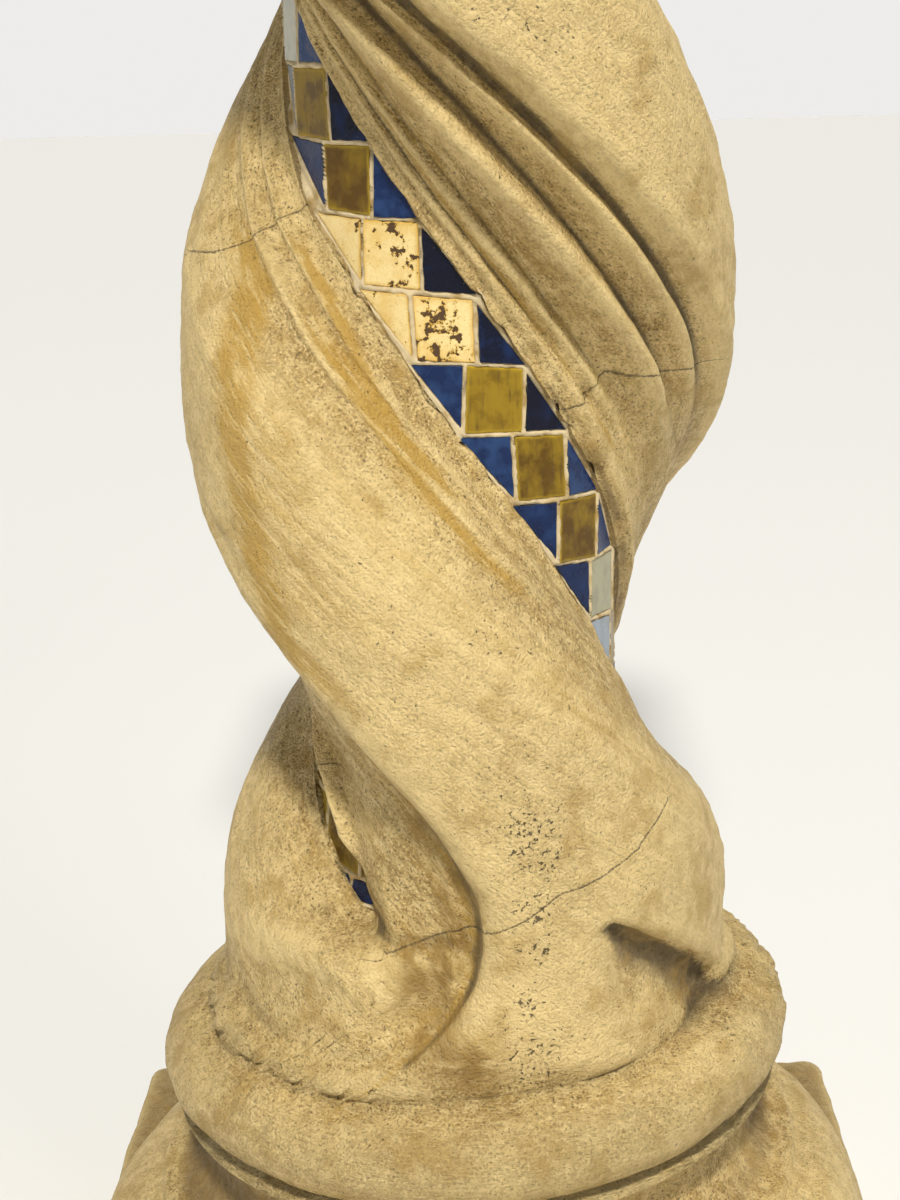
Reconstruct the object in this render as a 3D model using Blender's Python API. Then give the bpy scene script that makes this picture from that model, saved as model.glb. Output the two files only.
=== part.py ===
"""Barley twist column: a square plinth, turned base mouldings, a shaft of two thick
strands that wind round each other, and a plain capital, all one carved solid, with a
band of glass mosaic let into the groove under each strand.

Metres, +Z up, origin at the centre of the plinth's underside.
"""
import bpy
from math import cos, pi, sin


# Plinth and turned base
PLINTH_SIDE = 0.347
PLINTH_HEIGHT = 0.060
SLAB_EDGE = 0.004               # worn edges of the square blocks
CORNER_WEAR = 0.007             # how far their corners are worn back
LOWER_TORUS_RADIUS = 0.158      # to the outside of the moulding
LOWER_TORUS_HEIGHT = 0.068
FILLET_RADIUS = 0.130           # small step between the lower torus and the scotia
FILLET_HEIGHT = 0.004
SCOTIA_HEIGHT = 0.040
SCOTIA_WAIST = 0.109            # narrowest radius of the hollow moulding
SCOTIA_LIP = 0.126
UPPER_TORUS_RADIUS = 0.125
UPPER_TORUS_HEIGHT = 0.033
UPPER_TORUS_WIDTH = 0.024       # how far it stands out from its own root
BASE_TILT = 0.050               # the hand-run mouldings rise this much towards +X

# Twisted shaft
SHAFT_RADIUS = 0.100            # over the back of the strands
SHAFT_HEIGHT = 0.800            # carved length between base and neck ring
STRAND_RISE = 0.2588            # height from one mosaic band up to the next
BAND_FRONT_HEIGHT = 0.468       # where a band crosses the front of the column
BAND_RADIUS = 0.0575            # face of the mosaic
BAND_THICKNESS = 0.006          # glass and mortar together
BAND_WIDTH = 0.0386             # measured level, round the groove
BAND_TIP = 0.053                # a band comes to a point this far from either end
BAND_POINT = 0.056              # length over which it narrows to that point
BAND_TIP_WIDTH = 0.004
BAND_TAPER = 0.6                # under 1 for a full, arched point
BAND_GAP = 0.0003               # clearance under the mosaic
BAND_SIDE_GAP = 0.0004          # clearance beside it, measured level
BAND_END_GAP = 0.0006           # clearance beyond each of its tips
BAND_END_WALL = 0.0008          # height of the wall that ends a band's groove

# How the shaft grows out of its foot and into its neck
FOOT_SWEEP = 0.158              # height over which the strands turn in under themselves
FOOT_SHAPE = 0.126              # height over which their profile changes to the foot's
FOOT_MERGE = 0.034              # height over which they melt into the round foot
NECK_MERGE = 0.090

# Torn notch low on the front
GASH_START_ANGLE = -0.99        # directions round the column, from +X towards +Y
GASH_END_ANGLE = -0.49
GASH_START_HEIGHT = 0.263
GASH_END_HEIGHT = 0.228
GASH_DEPTH = 0.009
GASH_LIP = 0.008                # height of the torn lip itself
GASH_REACH = 0.046              # how far down the flattened stone runs

# Capital
NECK_RADIUS = 0.088
NECK_RING_RADIUS = 0.101
NECK_RING_HEIGHT = 0.024
BELL_HEIGHT = 0.060             # hollow flare under the upper moulding
BELL_RADIUS = 0.112
CAPITAL_TORUS_RADIUS = 0.132
CAPITAL_TORUS_HEIGHT = 0.034
ABACUS_SIDE = 0.300
ABACUS_HEIGHT = 0.048

# Colours of the surfaces: red, green, blue
STONE_COLOUR = (0.60, 0.50, 0.33, 1.0)
GLASS_COLOUR = (0.05, 0.10, 0.24, 1.0)

# Profile across one strand: phase runs from the middle of one mosaic band (0) down to the
# middle of the next (1), and the radius is a share of SHAFT_RADIUS.
BAND_LIP = 0.0005               # phase between the foot and the top of the groove's wall
STRAND_PROFILE = [
    (0.130, 0.600),             # soft rim below the band
    (0.155, 0.632),
    (0.180, 0.690),             # first low ridge
    (0.220, 0.735),             # second low ridge
    (0.260, 0.820),
    (0.305, 0.912),
    (0.350, 0.966),
    (0.400, 0.990),             # back of the strand
    (0.460, 1.002),
    (0.525, 1.004),
    (0.580, 0.996),
    (0.620, 0.968),             # edge over the folds
    (0.645, 0.890),             # first fold, the deepest
    (0.675, 0.884),
    (0.710, 0.775),             # second fold
    (0.745, 0.762),
    (0.785, 0.662),             # third fold
    (0.825, 0.650),
    (0.865, 0.596),
]
RIM = 0.586                     # radius share at both lips of the band
EDGE_PHASE = 0.620              # the strand's edge over its folds

# The same phases low down, where the strand has swelled into its foot
FOOT_PROFILE = [
    (0.130, 0.680),
    (0.155, 0.760),
    (0.180, 0.830),
    (0.205, 0.880),
    (0.235, 0.930),
    (0.270, 0.965),
    (0.310, 0.985),
    (0.350, 0.995),
    (0.400, 1.000),
    (0.450, 1.003),
    (0.500, 1.006),
    (0.550, 1.002),
    (0.590, 0.990),
    (0.620, 0.955),             # lip of the hooked groove
    (0.645, 0.870),
    (0.675, 0.760),
    (0.710, 0.680),
    (0.745, 0.640),             # bottom of the hooked groove
    (0.785, 0.640),
    (0.825, 0.680),
    (0.865, 0.690),
]
FOOT_RIM = 0.640
FOOT_EDGE_SHIFT = 0.53          # phase by which the edge has swung round at the foot
FOOT_TURN = 2.8                 # how late and sharply it swings
SEAM_CLEAR = 0.13               # phase kept between the edge and the seam under the band
FOOT_CLOSED = 0.94              # radius share where the stone closes over under a band's tip
CLOSING_HEIGHT = 0.026          # below the tip, to where it has closed
CLOSED_AFTER = 0.25             # phases between which the carving stays open there
CLOSED_BEFORE = 0.80

# Fineness of the faceted surface
COLUMNS = 2 * (len(STRAND_PROFILE) + 5)     # round the column
SHAFT_ROWS = 46
ARC_STEPS = 4                   # rows round a turned moulding
SHARP_ANGLE = 0.7

# Heights worked out from the sizes above
LOWER_TORUS_TOP = PLINTH_HEIGHT + LOWER_TORUS_HEIGHT
FILLET_TOP = LOWER_TORUS_TOP + FILLET_HEIGHT
SCOTIA_TOP = FILLET_TOP + SCOTIA_HEIGHT
SHAFT_FOOT = SCOTIA_TOP + UPPER_TORUS_HEIGHT
SHAFT_TOP = SHAFT_FOOT + SHAFT_HEIGHT
NECK_RING_TOP = SHAFT_TOP + NECK_RING_HEIGHT
BELL_TOP = NECK_RING_TOP + BELL_HEIGHT
CAPITAL_TORUS_TOP = BELL_TOP + CAPITAL_TORUS_HEIGHT
TOTAL_HEIGHT = CAPITAL_TORUS_TOP + ABACUS_HEIGHT
BAND_LOW = SHAFT_FOOT + BAND_TIP
BAND_HIGH = SHAFT_TOP - BAND_TIP
BAND_HALF_PHASE = BAND_WIDTH / BAND_RADIUS / pi / 2


def smooth(low, high, value):
    """0 below low, 1 above high, an easy curve between."""
    share = min(1.0, max(0.0, (value - low) / (high - low)))
    return share * share * (3 - 2 * share)


def mix(a, b, share):
    return a + (b - a) * share


def between(points, x):
    """Straight-line reading of a list of (x, y) points."""
    for (x0, y0), (x1, y1) in zip(points, points[1:]):
        if x <= x1:
            return mix(y0, y1, (x - x0) / (x1 - x0))
    return points[-1][1]


def band_angle(height):
    """Direction of the middle of the first mosaic band at a height."""
    return -pi / 2 + (BAND_FRONT_HEIGHT - height) * pi / STRAND_RISE


def band_half(height):
    """Half the band's width as a phase, narrowing to a pointed tip at each end."""
    reach = min(height - BAND_LOW, BAND_HIGH - height) / BAND_POINT
    share = min(1.0, max(0.0, reach)) ** BAND_TAPER
    least = BAND_HALF_PHASE * BAND_TIP_WIDTH / BAND_WIDTH
    return mix(least, BAND_HALF_PHASE, share)


def foot_share(height):
    """1 where a strand has its foot's profile, 0 where it has its own."""
    return 1 - smooth(SHAFT_FOOT + FOOT_MERGE, SHAFT_FOOT + FOOT_SHAPE, height)


def edge_phase(height):
    """The strand's edge swings round under it as it nears the foot."""
    reach = (SHAFT_FOOT + FOOT_SWEEP - height) / FOOT_SWEEP
    return EDGE_PHASE + FOOT_EDGE_SHIFT * min(1.0, max(0.0, reach)) ** FOOT_TURN


def seam_phase(height):
    """Middle of the band, pushed along where the edge would run into it."""
    return max(0.0, edge_phase(height) + SEAM_CLEAR - 1.0)


def real_phase(phase, height):
    """Where a profile phase lies on the shaft at a height."""
    half, seam = band_half(height), seam_phase(height)
    stops = [
        (0.0, seam),
        (BAND_HALF_PHASE, seam + half),
        (EDGE_PHASE, edge_phase(height)),
        (1 - BAND_HALF_PHASE, 1 + seam - half),
        (1.0, 1 + seam),
    ]
    return between(stops, phase)


def profile_share(profile, rim, phase):
    lip = BAND_HALF_PHASE + BAND_LIP
    return between([(lip, rim)] + profile + [(1 - lip, rim)], phase)


def in_band(phase):
    return phase <= BAND_HALF_PHASE or phase >= 1 - BAND_HALF_PHASE


def strand_radius(phase, height):
    """Radius of the carved surface beside the bands."""
    phase = min(1 - BAND_HALF_PHASE, max(BAND_HALF_PHASE, phase))
    own = profile_share(STRAND_PROFILE, RIM, phase)
    foot = profile_share(FOOT_PROFILE, FOOT_RIM, phase)
    closing = 1 - smooth(BAND_LOW - CLOSING_HEIGHT, BAND_LOW, height)
    beside = 1 - smooth(BAND_HALF_PHASE, CLOSED_AFTER, phase)
    beside += smooth(CLOSED_BEFORE, 1 - BAND_HALF_PHASE, phase)
    foot = max(foot, mix(foot, FOOT_CLOSED, closing * beside))
    share = mix(own, foot, foot_share(height))
    share = mix(1.0, share, smooth(SHAFT_FOOT, SHAFT_FOOT + FOOT_MERGE, height))
    neck = NECK_RADIUS / SHAFT_RADIUS
    share = mix(share, neck, smooth(SHAFT_TOP - NECK_MERGE, SHAFT_TOP, height))
    return SHAFT_RADIUS * share


def floor_radius(height):
    """Bottom of the groove that the mosaic lies in."""
    rise = strand_radius(BAND_HALF_PHASE, height) - SHAFT_RADIUS * RIM
    return BAND_RADIUS + rise - BAND_THICKNESS - BAND_GAP


def strand_phases():
    """Profile phases of one strand's columns of points, band floor first."""
    lip = BAND_HALF_PHASE + BAND_LIP
    carved = [phase for phase, share in STRAND_PROFILE]
    return [0.0, BAND_HALF_PHASE, lip] + carved + [1 - lip, 1 - BAND_HALF_PHASE]


def gash_depth(angle, height):
    """A torn notch low on the front, with the stone flattened below it."""
    along = (angle - GASH_START_ANGLE) / (GASH_END_ANGLE - GASH_START_ANGLE)
    below = mix(GASH_START_HEIGHT, GASH_END_HEIGHT, along) - height
    across = smooth(-0.2, 0.1, along) * (1 - smooth(0.9, 1.2, along))
    down = smooth(0.0, GASH_LIP, below) * (1 - smooth(GASH_LIP, GASH_REACH, below))
    return GASH_DEPTH * across * down


def polar(radius, angle, height):
    """A point, with the lean that the base mouldings were run with."""
    x, y = radius * cos(angle), radius * sin(angle)
    lean = smooth(PLINTH_HEIGHT, LOWER_TORUS_TOP, height)
    lean *= 1 - smooth(SHAFT_FOOT, SHAFT_FOOT + FOOT_SWEEP, height)
    return (x, y, height + BASE_TILT * lean * x)


def strand_angle(index, height):
    """Direction of a column of points that follows the strands."""
    phases = strand_phases()
    strand, column = divmod(index, len(phases))
    return band_angle(height) - pi * (strand + real_phase(phases[column], height))


def column_angle(index, height):
    """Along the strands on the shaft, easing to equal steps, one at each corner, beyond."""
    nearest = min(SHAFT_TOP, max(SHAFT_FOOT, height))
    step = 2 * pi / COLUMNS
    corner = COLUMNS / 8 % 1
    even = (round(band_angle(nearest) / step - corner) + corner - index) * step
    low = smooth(PLINTH_HEIGHT, SHAFT_FOOT, height)
    high = smooth(SHAFT_TOP, CAPITAL_TORUS_TOP, height)
    return mix(even, strand_angle(index, nearest), low * (1 - high))


def shaft_ring(height):
    """One level round the twisted shaft, its points following the strands."""
    recessed = BAND_LOW <= height <= BAND_HIGH
    ring = []
    for index in range(COLUMNS):
        phase = strand_phases()[index % (COLUMNS // 2)]
        angle = column_angle(index, height)
        if recessed and in_band(phase):
            radius = floor_radius(height)
        else:
            radius = strand_radius(phase, height) - gash_depth(angle, height)
        ring.append(polar(radius, angle, height))
    return ring


def band_ends():
    """Lowest and highest level of a mosaic band, clear of the ends of its groove."""
    return BAND_LOW + BAND_END_GAP, BAND_HIGH - BAND_END_GAP


def shaft_heights():
    """Levels of the shaft's rings, close together where each band's groove ends."""
    ends = [BAND_LOW - BAND_END_WALL, BAND_LOW, *band_ends(), BAND_HIGH,
            BAND_HIGH + BAND_END_WALL]
    step = SHAFT_HEIGHT / SHAFT_ROWS
    even = [SHAFT_FOOT + step * row for row in range(SHAFT_ROWS + 1)]
    clear = [h for h in even if min(abs(h - end) for end in ends) > step / 4]
    return sorted(clear + ends)


def round_ring(radius, height):
    return [polar(radius, column_angle(index, height), height) for index in range(COLUMNS)]


def square_ring(side, height):
    """A square with its corners worn back a little."""
    ring = []
    for index in range(COLUMNS):
        angle = column_angle(index, height)
        reach = side / 2 / max(abs(cos(angle)), abs(sin(angle)))
        corner = abs(reach - side / 2 ** 0.5) < 1e-6
        ring.append(polar(reach - (CORNER_WEAR if corner else 0), angle, height))
    return ring


def arc(centre, width, height, start, end):
    """Radius and height of points round an elliptical moulding, angles in radians."""
    points = []
    for step in range(ARC_STEPS + 1):
        angle = mix(start, end, step / ARC_STEPS)
        points.append((centre[0] + width * cos(angle), centre[1] + height / 2 * sin(angle)))
    return points


def base_profile():
    """Turned base from the plinth's top to the foot of the shaft."""
    half = LOWER_TORUS_HEIGHT / 2
    low = arc((LOWER_TORUS_RADIUS - half, PLINTH_HEIGHT + half), half,
              LOWER_TORUS_HEIGHT, -1.2, 1.3)
    fillet = [(FILLET_RADIUS, LOWER_TORUS_TOP), (FILLET_RADIUS, FILLET_TOP)]
    hollow = SCOTIA_LIP - SCOTIA_WAIST
    scotia = arc((SCOTIA_LIP, mix(FILLET_TOP, SCOTIA_TOP, 0.5)), -hollow,
                 SCOTIA_HEIGHT, -1.4, 1.2)
    root = UPPER_TORUS_RADIUS - UPPER_TORUS_WIDTH
    high = arc((root, SCOTIA_TOP + UPPER_TORUS_HEIGHT / 2), UPPER_TORUS_WIDTH,
               UPPER_TORUS_HEIGHT, -0.85, 1.35)
    return [(low[0][0], PLINTH_HEIGHT)] + low + fillet + scotia + high


def capital_profile():
    """Turned capital from the neck ring to the underside of the abacus."""
    ring = arc((NECK_RADIUS, SHAFT_TOP + NECK_RING_HEIGHT / 2),
               NECK_RING_RADIUS - NECK_RADIUS, NECK_RING_HEIGHT, -1.35, 1.35)
    flare = arc((BELL_RADIUS, NECK_RING_TOP), NECK_RADIUS - BELL_RADIUS,
                2 * BELL_HEIGHT, 0.06, 1.45)
    root = CAPITAL_TORUS_RADIUS - CAPITAL_TORUS_HEIGHT / 2
    high = arc((root, BELL_TOP + CAPITAL_TORUS_HEIGHT / 2), CAPITAL_TORUS_HEIGHT / 2,
               CAPITAL_TORUS_HEIGHT, -1.25, 1.25)
    return ring + flare + high + [(high[-1][0], CAPITAL_TORUS_TOP)]


def slab(side, low, high):
    """Rings of a square block, with worn edges above and below."""
    inner = side - 2 * SLAB_EDGE
    return [
        square_ring(inner, low),
        square_ring(side, low + SLAB_EDGE),
        square_ring(side, high - SLAB_EDGE),
        square_ring(inner, high),
    ]


def skin(rings, size):
    """Triangles between rings of points, each ring the same number of points."""
    faces = []
    for row in range(len(rings) - 1):
        for index in range(size):
            a, b = row * size + index, row * size + (index + 1) % size
            faces += [(a, a + size, b + size), (a, b + size, b)]
    return faces


def solid(name, rings, material):
    """A closed body lofted through rings, capped flat at both ends."""
    size = len(rings[0])
    last = (len(rings) - 1) * size
    faces = skin(rings, size)
    faces += [tuple(range(size)), tuple(last + index for index in reversed(range(size)))]
    mesh = bpy.data.meshes.new(name)
    mesh.from_pydata([point for ring in rings for point in ring], [], faces)
    mesh.shade_smooth()
    mesh.set_sharp_from_angle(angle=SHARP_ANGLE)
    mesh.materials.append(material)
    body = bpy.data.objects.new(name, mesh)
    bpy.context.scene.collection.objects.link(body)
    return body


def band_ring(strand, height):
    """Cross-section of a mosaic band: three points underneath, three on its face."""
    low = floor_radius(height) + BAND_GAP
    half = band_half(height) - BAND_SIDE_GAP / BAND_RADIUS / pi
    middle = band_angle(height) - pi * (strand + seam_phase(height))
    under = [polar(low, middle - pi * side * half, height) for side in (1, 0, -1)]
    face = [polar(low + BAND_THICKNESS, middle - pi * side * half, height)
            for side in (-1, 0, 1)]
    return under + face


def make_band(name, strand, material):
    low, high = band_ends()
    heights = [height for height in shaft_heights() if low <= height <= high]
    return solid(name, [band_ring(strand, height) for height in heights], material)


def make_column(name, material):
    rings = slab(PLINTH_SIDE, 0.0, PLINTH_HEIGHT)
    rings += [round_ring(radius, height) for radius, height in base_profile()]
    rings += [shaft_ring(height) for height in shaft_heights()]
    rings += [round_ring(radius, height) for radius, height in capital_profile()]
    rings += slab(ABACUS_SIDE, CAPITAL_TORUS_TOP, TOTAL_HEIGHT)
    return solid(name, rings, material)


def make_material(name, colour, roughness):
    material = bpy.data.materials.new(name)
    material.use_nodes = True
    shader = material.node_tree.nodes["Principled BSDF"]
    shader.inputs["Base Color"].default_value = colour
    shader.inputs["Roughness"].default_value = roughness
    shader.inputs["Metallic"].default_value = 0.0
    return material


def clear_scene():
    for thing in list(bpy.data.objects):
        bpy.data.objects.remove(thing, do_unlink=True)


def main():
    clear_scene()
    stone = make_material("carved_stone", STONE_COLOUR, 0.85)
    glass = make_material("mosaic_glass", GLASS_COLOUR, 0.15)
    make_column("column", stone)
    make_band("mosaic_band_front", 0, glass)
    make_band("mosaic_band_back", 1, glass)


main()
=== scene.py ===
"""Looks of the barley twist column: the carved and stained stone, and the glass mosaic.

The stone is one closed skin, lofted level by level from the plinth up to the abacus. On the
shaft its columns of points follow the two strands. Each mosaic band is a bed of mortar with
flat hand-cut tiles in it. Metres, +Z up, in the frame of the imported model.
"""
import random
from math import pi

import bpy
import numpy as np
from mathutils import Matrix, Vector, noise


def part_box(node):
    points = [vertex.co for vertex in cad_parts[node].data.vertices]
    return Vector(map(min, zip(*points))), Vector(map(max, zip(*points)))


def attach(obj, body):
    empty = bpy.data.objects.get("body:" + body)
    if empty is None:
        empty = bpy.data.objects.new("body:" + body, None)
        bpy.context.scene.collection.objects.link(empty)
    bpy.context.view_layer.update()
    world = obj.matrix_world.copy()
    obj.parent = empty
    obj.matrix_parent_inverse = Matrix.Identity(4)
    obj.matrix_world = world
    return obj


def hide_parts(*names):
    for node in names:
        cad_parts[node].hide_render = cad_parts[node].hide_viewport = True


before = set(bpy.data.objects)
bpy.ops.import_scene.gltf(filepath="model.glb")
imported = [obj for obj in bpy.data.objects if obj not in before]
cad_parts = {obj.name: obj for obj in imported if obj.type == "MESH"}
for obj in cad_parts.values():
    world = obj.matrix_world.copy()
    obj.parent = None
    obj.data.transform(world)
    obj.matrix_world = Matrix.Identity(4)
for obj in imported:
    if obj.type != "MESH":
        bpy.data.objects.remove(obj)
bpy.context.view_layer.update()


# Sizes read from the frame
COLUMN_LOW, COLUMN_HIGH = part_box("column")
BAND_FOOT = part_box("mosaic_band_front")[0].z
BAND_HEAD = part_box("mosaic_band_front")[1].z
PLINTH_SIDE = COLUMN_HIGH.x - COLUMN_LOW.x
TOTAL_HEIGHT = COLUMN_HIGH.z

# Plinth and turned base
PLINTH_HEIGHT = 0.060
PLINTH_ROUND = 0.008            # radius of the worn corners of the square blocks
SLAB_EDGE = 0.003
STRAIGHT_SHARE = 0.86           # share of a block's points on the straight part of its sides
LOWER_TORUS_RADIUS = 0.158
LOWER_TORUS_HEIGHT = 0.068
FILLET_RADIUS = 0.130
FILLET_HEIGHT = 0.004
SCOTIA_HEIGHT = 0.040
SCOTIA_WAIST = 0.109
SCOTIA_LIP = 0.126
UPPER_TORUS_RADIUS = 0.125
UPPER_TORUS_HEIGHT = 0.033
UPPER_TORUS_WIDTH = 0.024
BASE_TILT = 0.050               # the hand-run mouldings rise this much towards +X

# Twisted shaft
SHAFT_RADIUS = 0.100
SHAFT_HEIGHT = 0.800
STRAND_RISE = 0.2588            # height from one mosaic band up to the next
BAND_FRONT_HEIGHT = 0.468       # where a band crosses the front of the column
BAND_RADIUS = 0.0575
BAND_WIDTH = 0.0386
BAND_END_GAP = 0.0006
BAND_ENDS = 0.001               # half the height over which the groove's ends slope
BAND_POINT = 0.056              # length over which a band narrows to its tip
BAND_TIP_WIDTH = 0.004
BAND_TAPER = 0.9                # straighter than the solid's, for more pointed tips
BAND_DEPTH = 0.004              # depth of the groove under the tiles' faces
BAND_LEAST_EXTRA = 0.0012       # what the groove was cut wider than ruled on its lower side
BAND_MOST_EXTRA = 0.0075        # and high on the part that shows, between these heights
WIDE_HEIGHTS = (0.488, 0.515, 0.62, 0.68)

# How the shaft grows out of its foot and into its neck
FOOT_SWEEP = 0.158
FOOT_SHAPE = 0.126
FOOT_MERGE = 0.034
NECK_MERGE = 0.090

# Torn notch low on the front
GASH_START_ANGLE = -0.99
GASH_END_ANGLE = -0.49
GASH_START_HEIGHT = 0.263
GASH_END_HEIGHT = 0.228
GASH_DEPTH = 0.0070             # a little less than in the solid
GASH_LIP = 0.005
GASH_REACH = 0.046
GASH_ENDS = (-0.2, 0.1, 0.9, 1.7)   # shares of its length over which it runs out

# Capital
NECK_RADIUS = 0.088
NECK_RING_RADIUS = 0.101
NECK_RING_HEIGHT = 0.024
BELL_HEIGHT = 0.060
BELL_RADIUS = 0.112
CAPITAL_TORUS_RADIUS = 0.132
CAPITAL_TORUS_HEIGHT = 0.034
ABACUS_SIDE = 0.300

# Profile across one strand: phase runs from the middle of one mosaic band (0) down to the
# middle of the next (1), and the radius is a share of SHAFT_RADIUS.
STRAND_PROFILE = [
    (0.107, 0.586), (0.130, 0.594),  # flat rim below the band
    (0.142, 0.604), (0.155, 0.644), (0.166, 0.682),  # first low ridge
    (0.178, 0.662),  # ochre groove
    (0.190, 0.704), (0.204, 0.758),  # second low ridge
    (0.218, 0.746), (0.232, 0.766), (0.260, 0.830), (0.305, 0.912), (0.350, 0.966),
    (0.400, 0.990),  # back of the strand
    (0.460, 1.002), (0.525, 1.004), (0.580, 0.998), (0.600, 0.990),
    (0.610, 0.968),  # edge over the folds
    (0.619, 0.905), (0.628, 0.866),  # first fold, the deepest
    (0.638, 0.868), (0.650, 0.888),  # narrow ridge
    (0.662, 0.866), (0.675, 0.800), (0.687, 0.764),  # second fold
    (0.700, 0.772), (0.715, 0.800), (0.728, 0.808),  # broad ridge
    (0.745, 0.784), (0.762, 0.715), (0.780, 0.655), (0.790, 0.640),  # third fold
    (0.802, 0.652), (0.812, 0.654), (0.824, 0.622), (0.833, 0.606),  # fourth, shallow fold
    (0.848, 0.622), (0.862, 0.602), (0.875, 0.590), (0.885, 0.594),  # thin rim above the band
    (0.893, 0.587),
]

# The same, where the folds have nearly faded out
SOFT_PROFILE = [
    (0.107, 0.586), (0.130, 0.600), (0.150, 0.640), (0.180, 0.700), (0.220, 0.768),
    (0.260, 0.836), (0.305, 0.912), (0.350, 0.966), (0.400, 0.990), (0.460, 1.002),
    (0.525, 1.004), (0.580, 0.996), (0.604, 0.984), (0.618, 0.950), (0.632, 0.870),
    (0.646, 0.838), (0.680, 0.812), (0.730, 0.758), (0.780, 0.690), (0.820, 0.655),
    (0.848, 0.650),  # thin ridge beside the band
    (0.866, 0.645), (0.885, 0.606), (0.893, 0.587),
]
RIM = 0.586                     # radius share at both lips of the band
EDGE_PHASE = 0.620              # the strand's edge over its folds
SOFT_BELOW = 0.400              # the folds have gone below this height
FOLDED_ABOVE = 0.490            # and are fully carved above this one
FOLD_STRENGTH = 1.3             # share of the folded profile where they are
LOW_SIDE = (0.24, 0.34)         # phases between which a strand's low side ends
LOW_FOLD_STRENGTH = 0.85        # the folds there are shallower
LOW_FOLDS_LONGER = 0.055        # and run on this far below the rest

# The same phases low down, where the strand has swelled into its foot
FOOT_PROFILE = [
    (0.107, 0.640), (0.125, 0.690), (0.150, 0.775), (0.180, 0.850), (0.205, 0.890),
    (0.235, 0.932), (0.270, 0.965), (0.310, 0.985), (0.350, 0.995), (0.400, 1.000),
    (0.450, 1.003), (0.500, 1.006), (0.550, 1.002), (0.590, 0.996), (0.610, 0.982),
    (0.620, 0.945),  # lip of the hooked groove
    (0.632, 0.860), (0.645, 0.826), (0.665, 0.810), (0.706, 0.794),  # its bottom
    (0.740, 0.806), (0.792, 0.818),  # thin ridge beside the band
    (0.815, 0.782), (0.850, 0.706), (0.880, 0.652), (0.893, 0.640),
]

# And under the tips of the bands, where the stone has closed over them
CLOSED_PROFILE = [
    (0.107, 0.940), (0.135, 0.918), (0.165, 0.905), (0.205, 0.912), (0.235, 0.938),
    (0.270, 0.967), (0.310, 0.985), (0.350, 0.995), (0.400, 1.000), (0.500, 1.006),
    (0.550, 1.002), (0.588, 0.996), (0.606, 0.986), (0.616, 0.955),  # lip of the hook
    (0.627, 0.900), (0.642, 0.880),  # crescent under it
    (0.690, 0.862), (0.725, 0.852),  # its hollow, against the bulb
    (0.760, 0.862), (0.800, 0.884), (0.840, 0.914), (0.893, 0.940),
]
FOOT_EDGE_SHIFT = 0.53
FOOT_TURN = 2.8
SEAM_CLEAR = 0.13
CLOSING_HEIGHT = 0.008          # the stone closes over this far below a band's tip
COVER_HEIGHT = 0.0070           # the lip over a band's foot stands out this much
COVER_PHASE, COVER_SPREAD = 0.872, 0.020
COVER_HEIGHTS = (0.276, 0.292, 0.312, 0.340)
ROLL_RADIUS = 0.1055            # slim roll that the shaft stands on
ROLL_HEIGHT = 0.0120
ROLL_WORN_MIDDLE = -0.95        # direction where the roll is worn away
ROLL_WORN_HALF = 0.60
LIP_DIRT_PHASE, LIP_DIRT_SPREAD = 0.882, 0.010      # dirt lies along the lip above the band
HOOK_SHADE_AND_STAIN_PHASE, HOOK_SHADE_AND_STAIN_SPREAD = 0.629, 0.008    # painted shade, with some brown stain, lies under the hooked lip of the foot
HOOK_SHADE_AND_STAIN_HEIGHTS = (0.212, 0.225, 0.29, 0.34)
LIP_SQUARE = 0.155              # squared phase distance of both lips from a strand's middle
LIP_NARROWNESS = 1e-5           # how closely the raggedness of the lips keeps to that
EVEN_ENDS = 0.004               # no wear this close to the floor and the column's top
WEAR = [(0.0011, 0.060, 3, 3.0), (0.0004, 0.009, 2, 5.0)]   # noises of the worn surface
DRAWN_WEAR = [(0.0006, 0.009, 3, 7.0)]                      # drawn out along the strands
LIP_WEAR = [(0.0007, 0.007, 3, 12.0)]                       # on the bands' lips
FLAKE_HEIGHT = 0.0020           # flakes stand up this much where the shaft meets its base
FLAKE_REACH = 0.009
# Painted shade and highlight: the stone's colour darkens in its hollows and pales on its crests
NARROW_HOLLOWS = (3, 0.35, 0.6)     # steps to the surroundings, then how much a hollow
WIDE_HOLLOWS = (12, 0.25, 0.4)      # counts on the turned mouldings and on low sides
LESS_SHADED_SIDE = (0.22, 0.30)       # phases between which a strand's low side, with less painted shade in its hollows, ends
FOOT_FADES = (0.27, 0.32)       # heights between which the foot's weaker painted shade in the hollows ends
DECK_REACH = 0.0045             # dirt and painted shade on the plinth reach this far above and below its top
DECK_DIRT_AND_SHADE = 0.0036              # dirt and painted shade count as a hollow this deep on the plinth's flat
LIP_DIRT = 0.0036               # dirt alone, along a band's upper lip
HOOK_SHADE_AND_STAIN = 0.0009              # painted shade with some stain, on the scale of narrow hollows, under the hooked lip
PROFILE_EASE = 0.0045           # phase over which the profile's corners are rounded
PROFILE_SAMPLES = 4001
FOLD_WANDER = 0.006             # phase by which the folds drift from a ruled line
FOLD_WAVES = [(0.6, 9, 17), (0.4, -14, 43)]
FOLD_PHASES = (0.12, 0.20, 0.82, 0.88)      # the rims beside the bands don't drift

# Fineness of the stone's skin: points across one strand, and heights between levels
FLOOR_PHASES = (0.0, 0.6, 0.97)
LIP_PHASES = (0.0, 0.0015, 0.004)
CARVED_COLUMNS = 149
SHAFT_STEP = 0.00275
UPPER_SHAFT_STEP = 0.0105
FLOW_SQUEEZE = 0.30             # texture is drawn out along the strands by the inverse of this
FINE_TOP = 0.645                # the closely carved part of the shaft ends here

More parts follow.
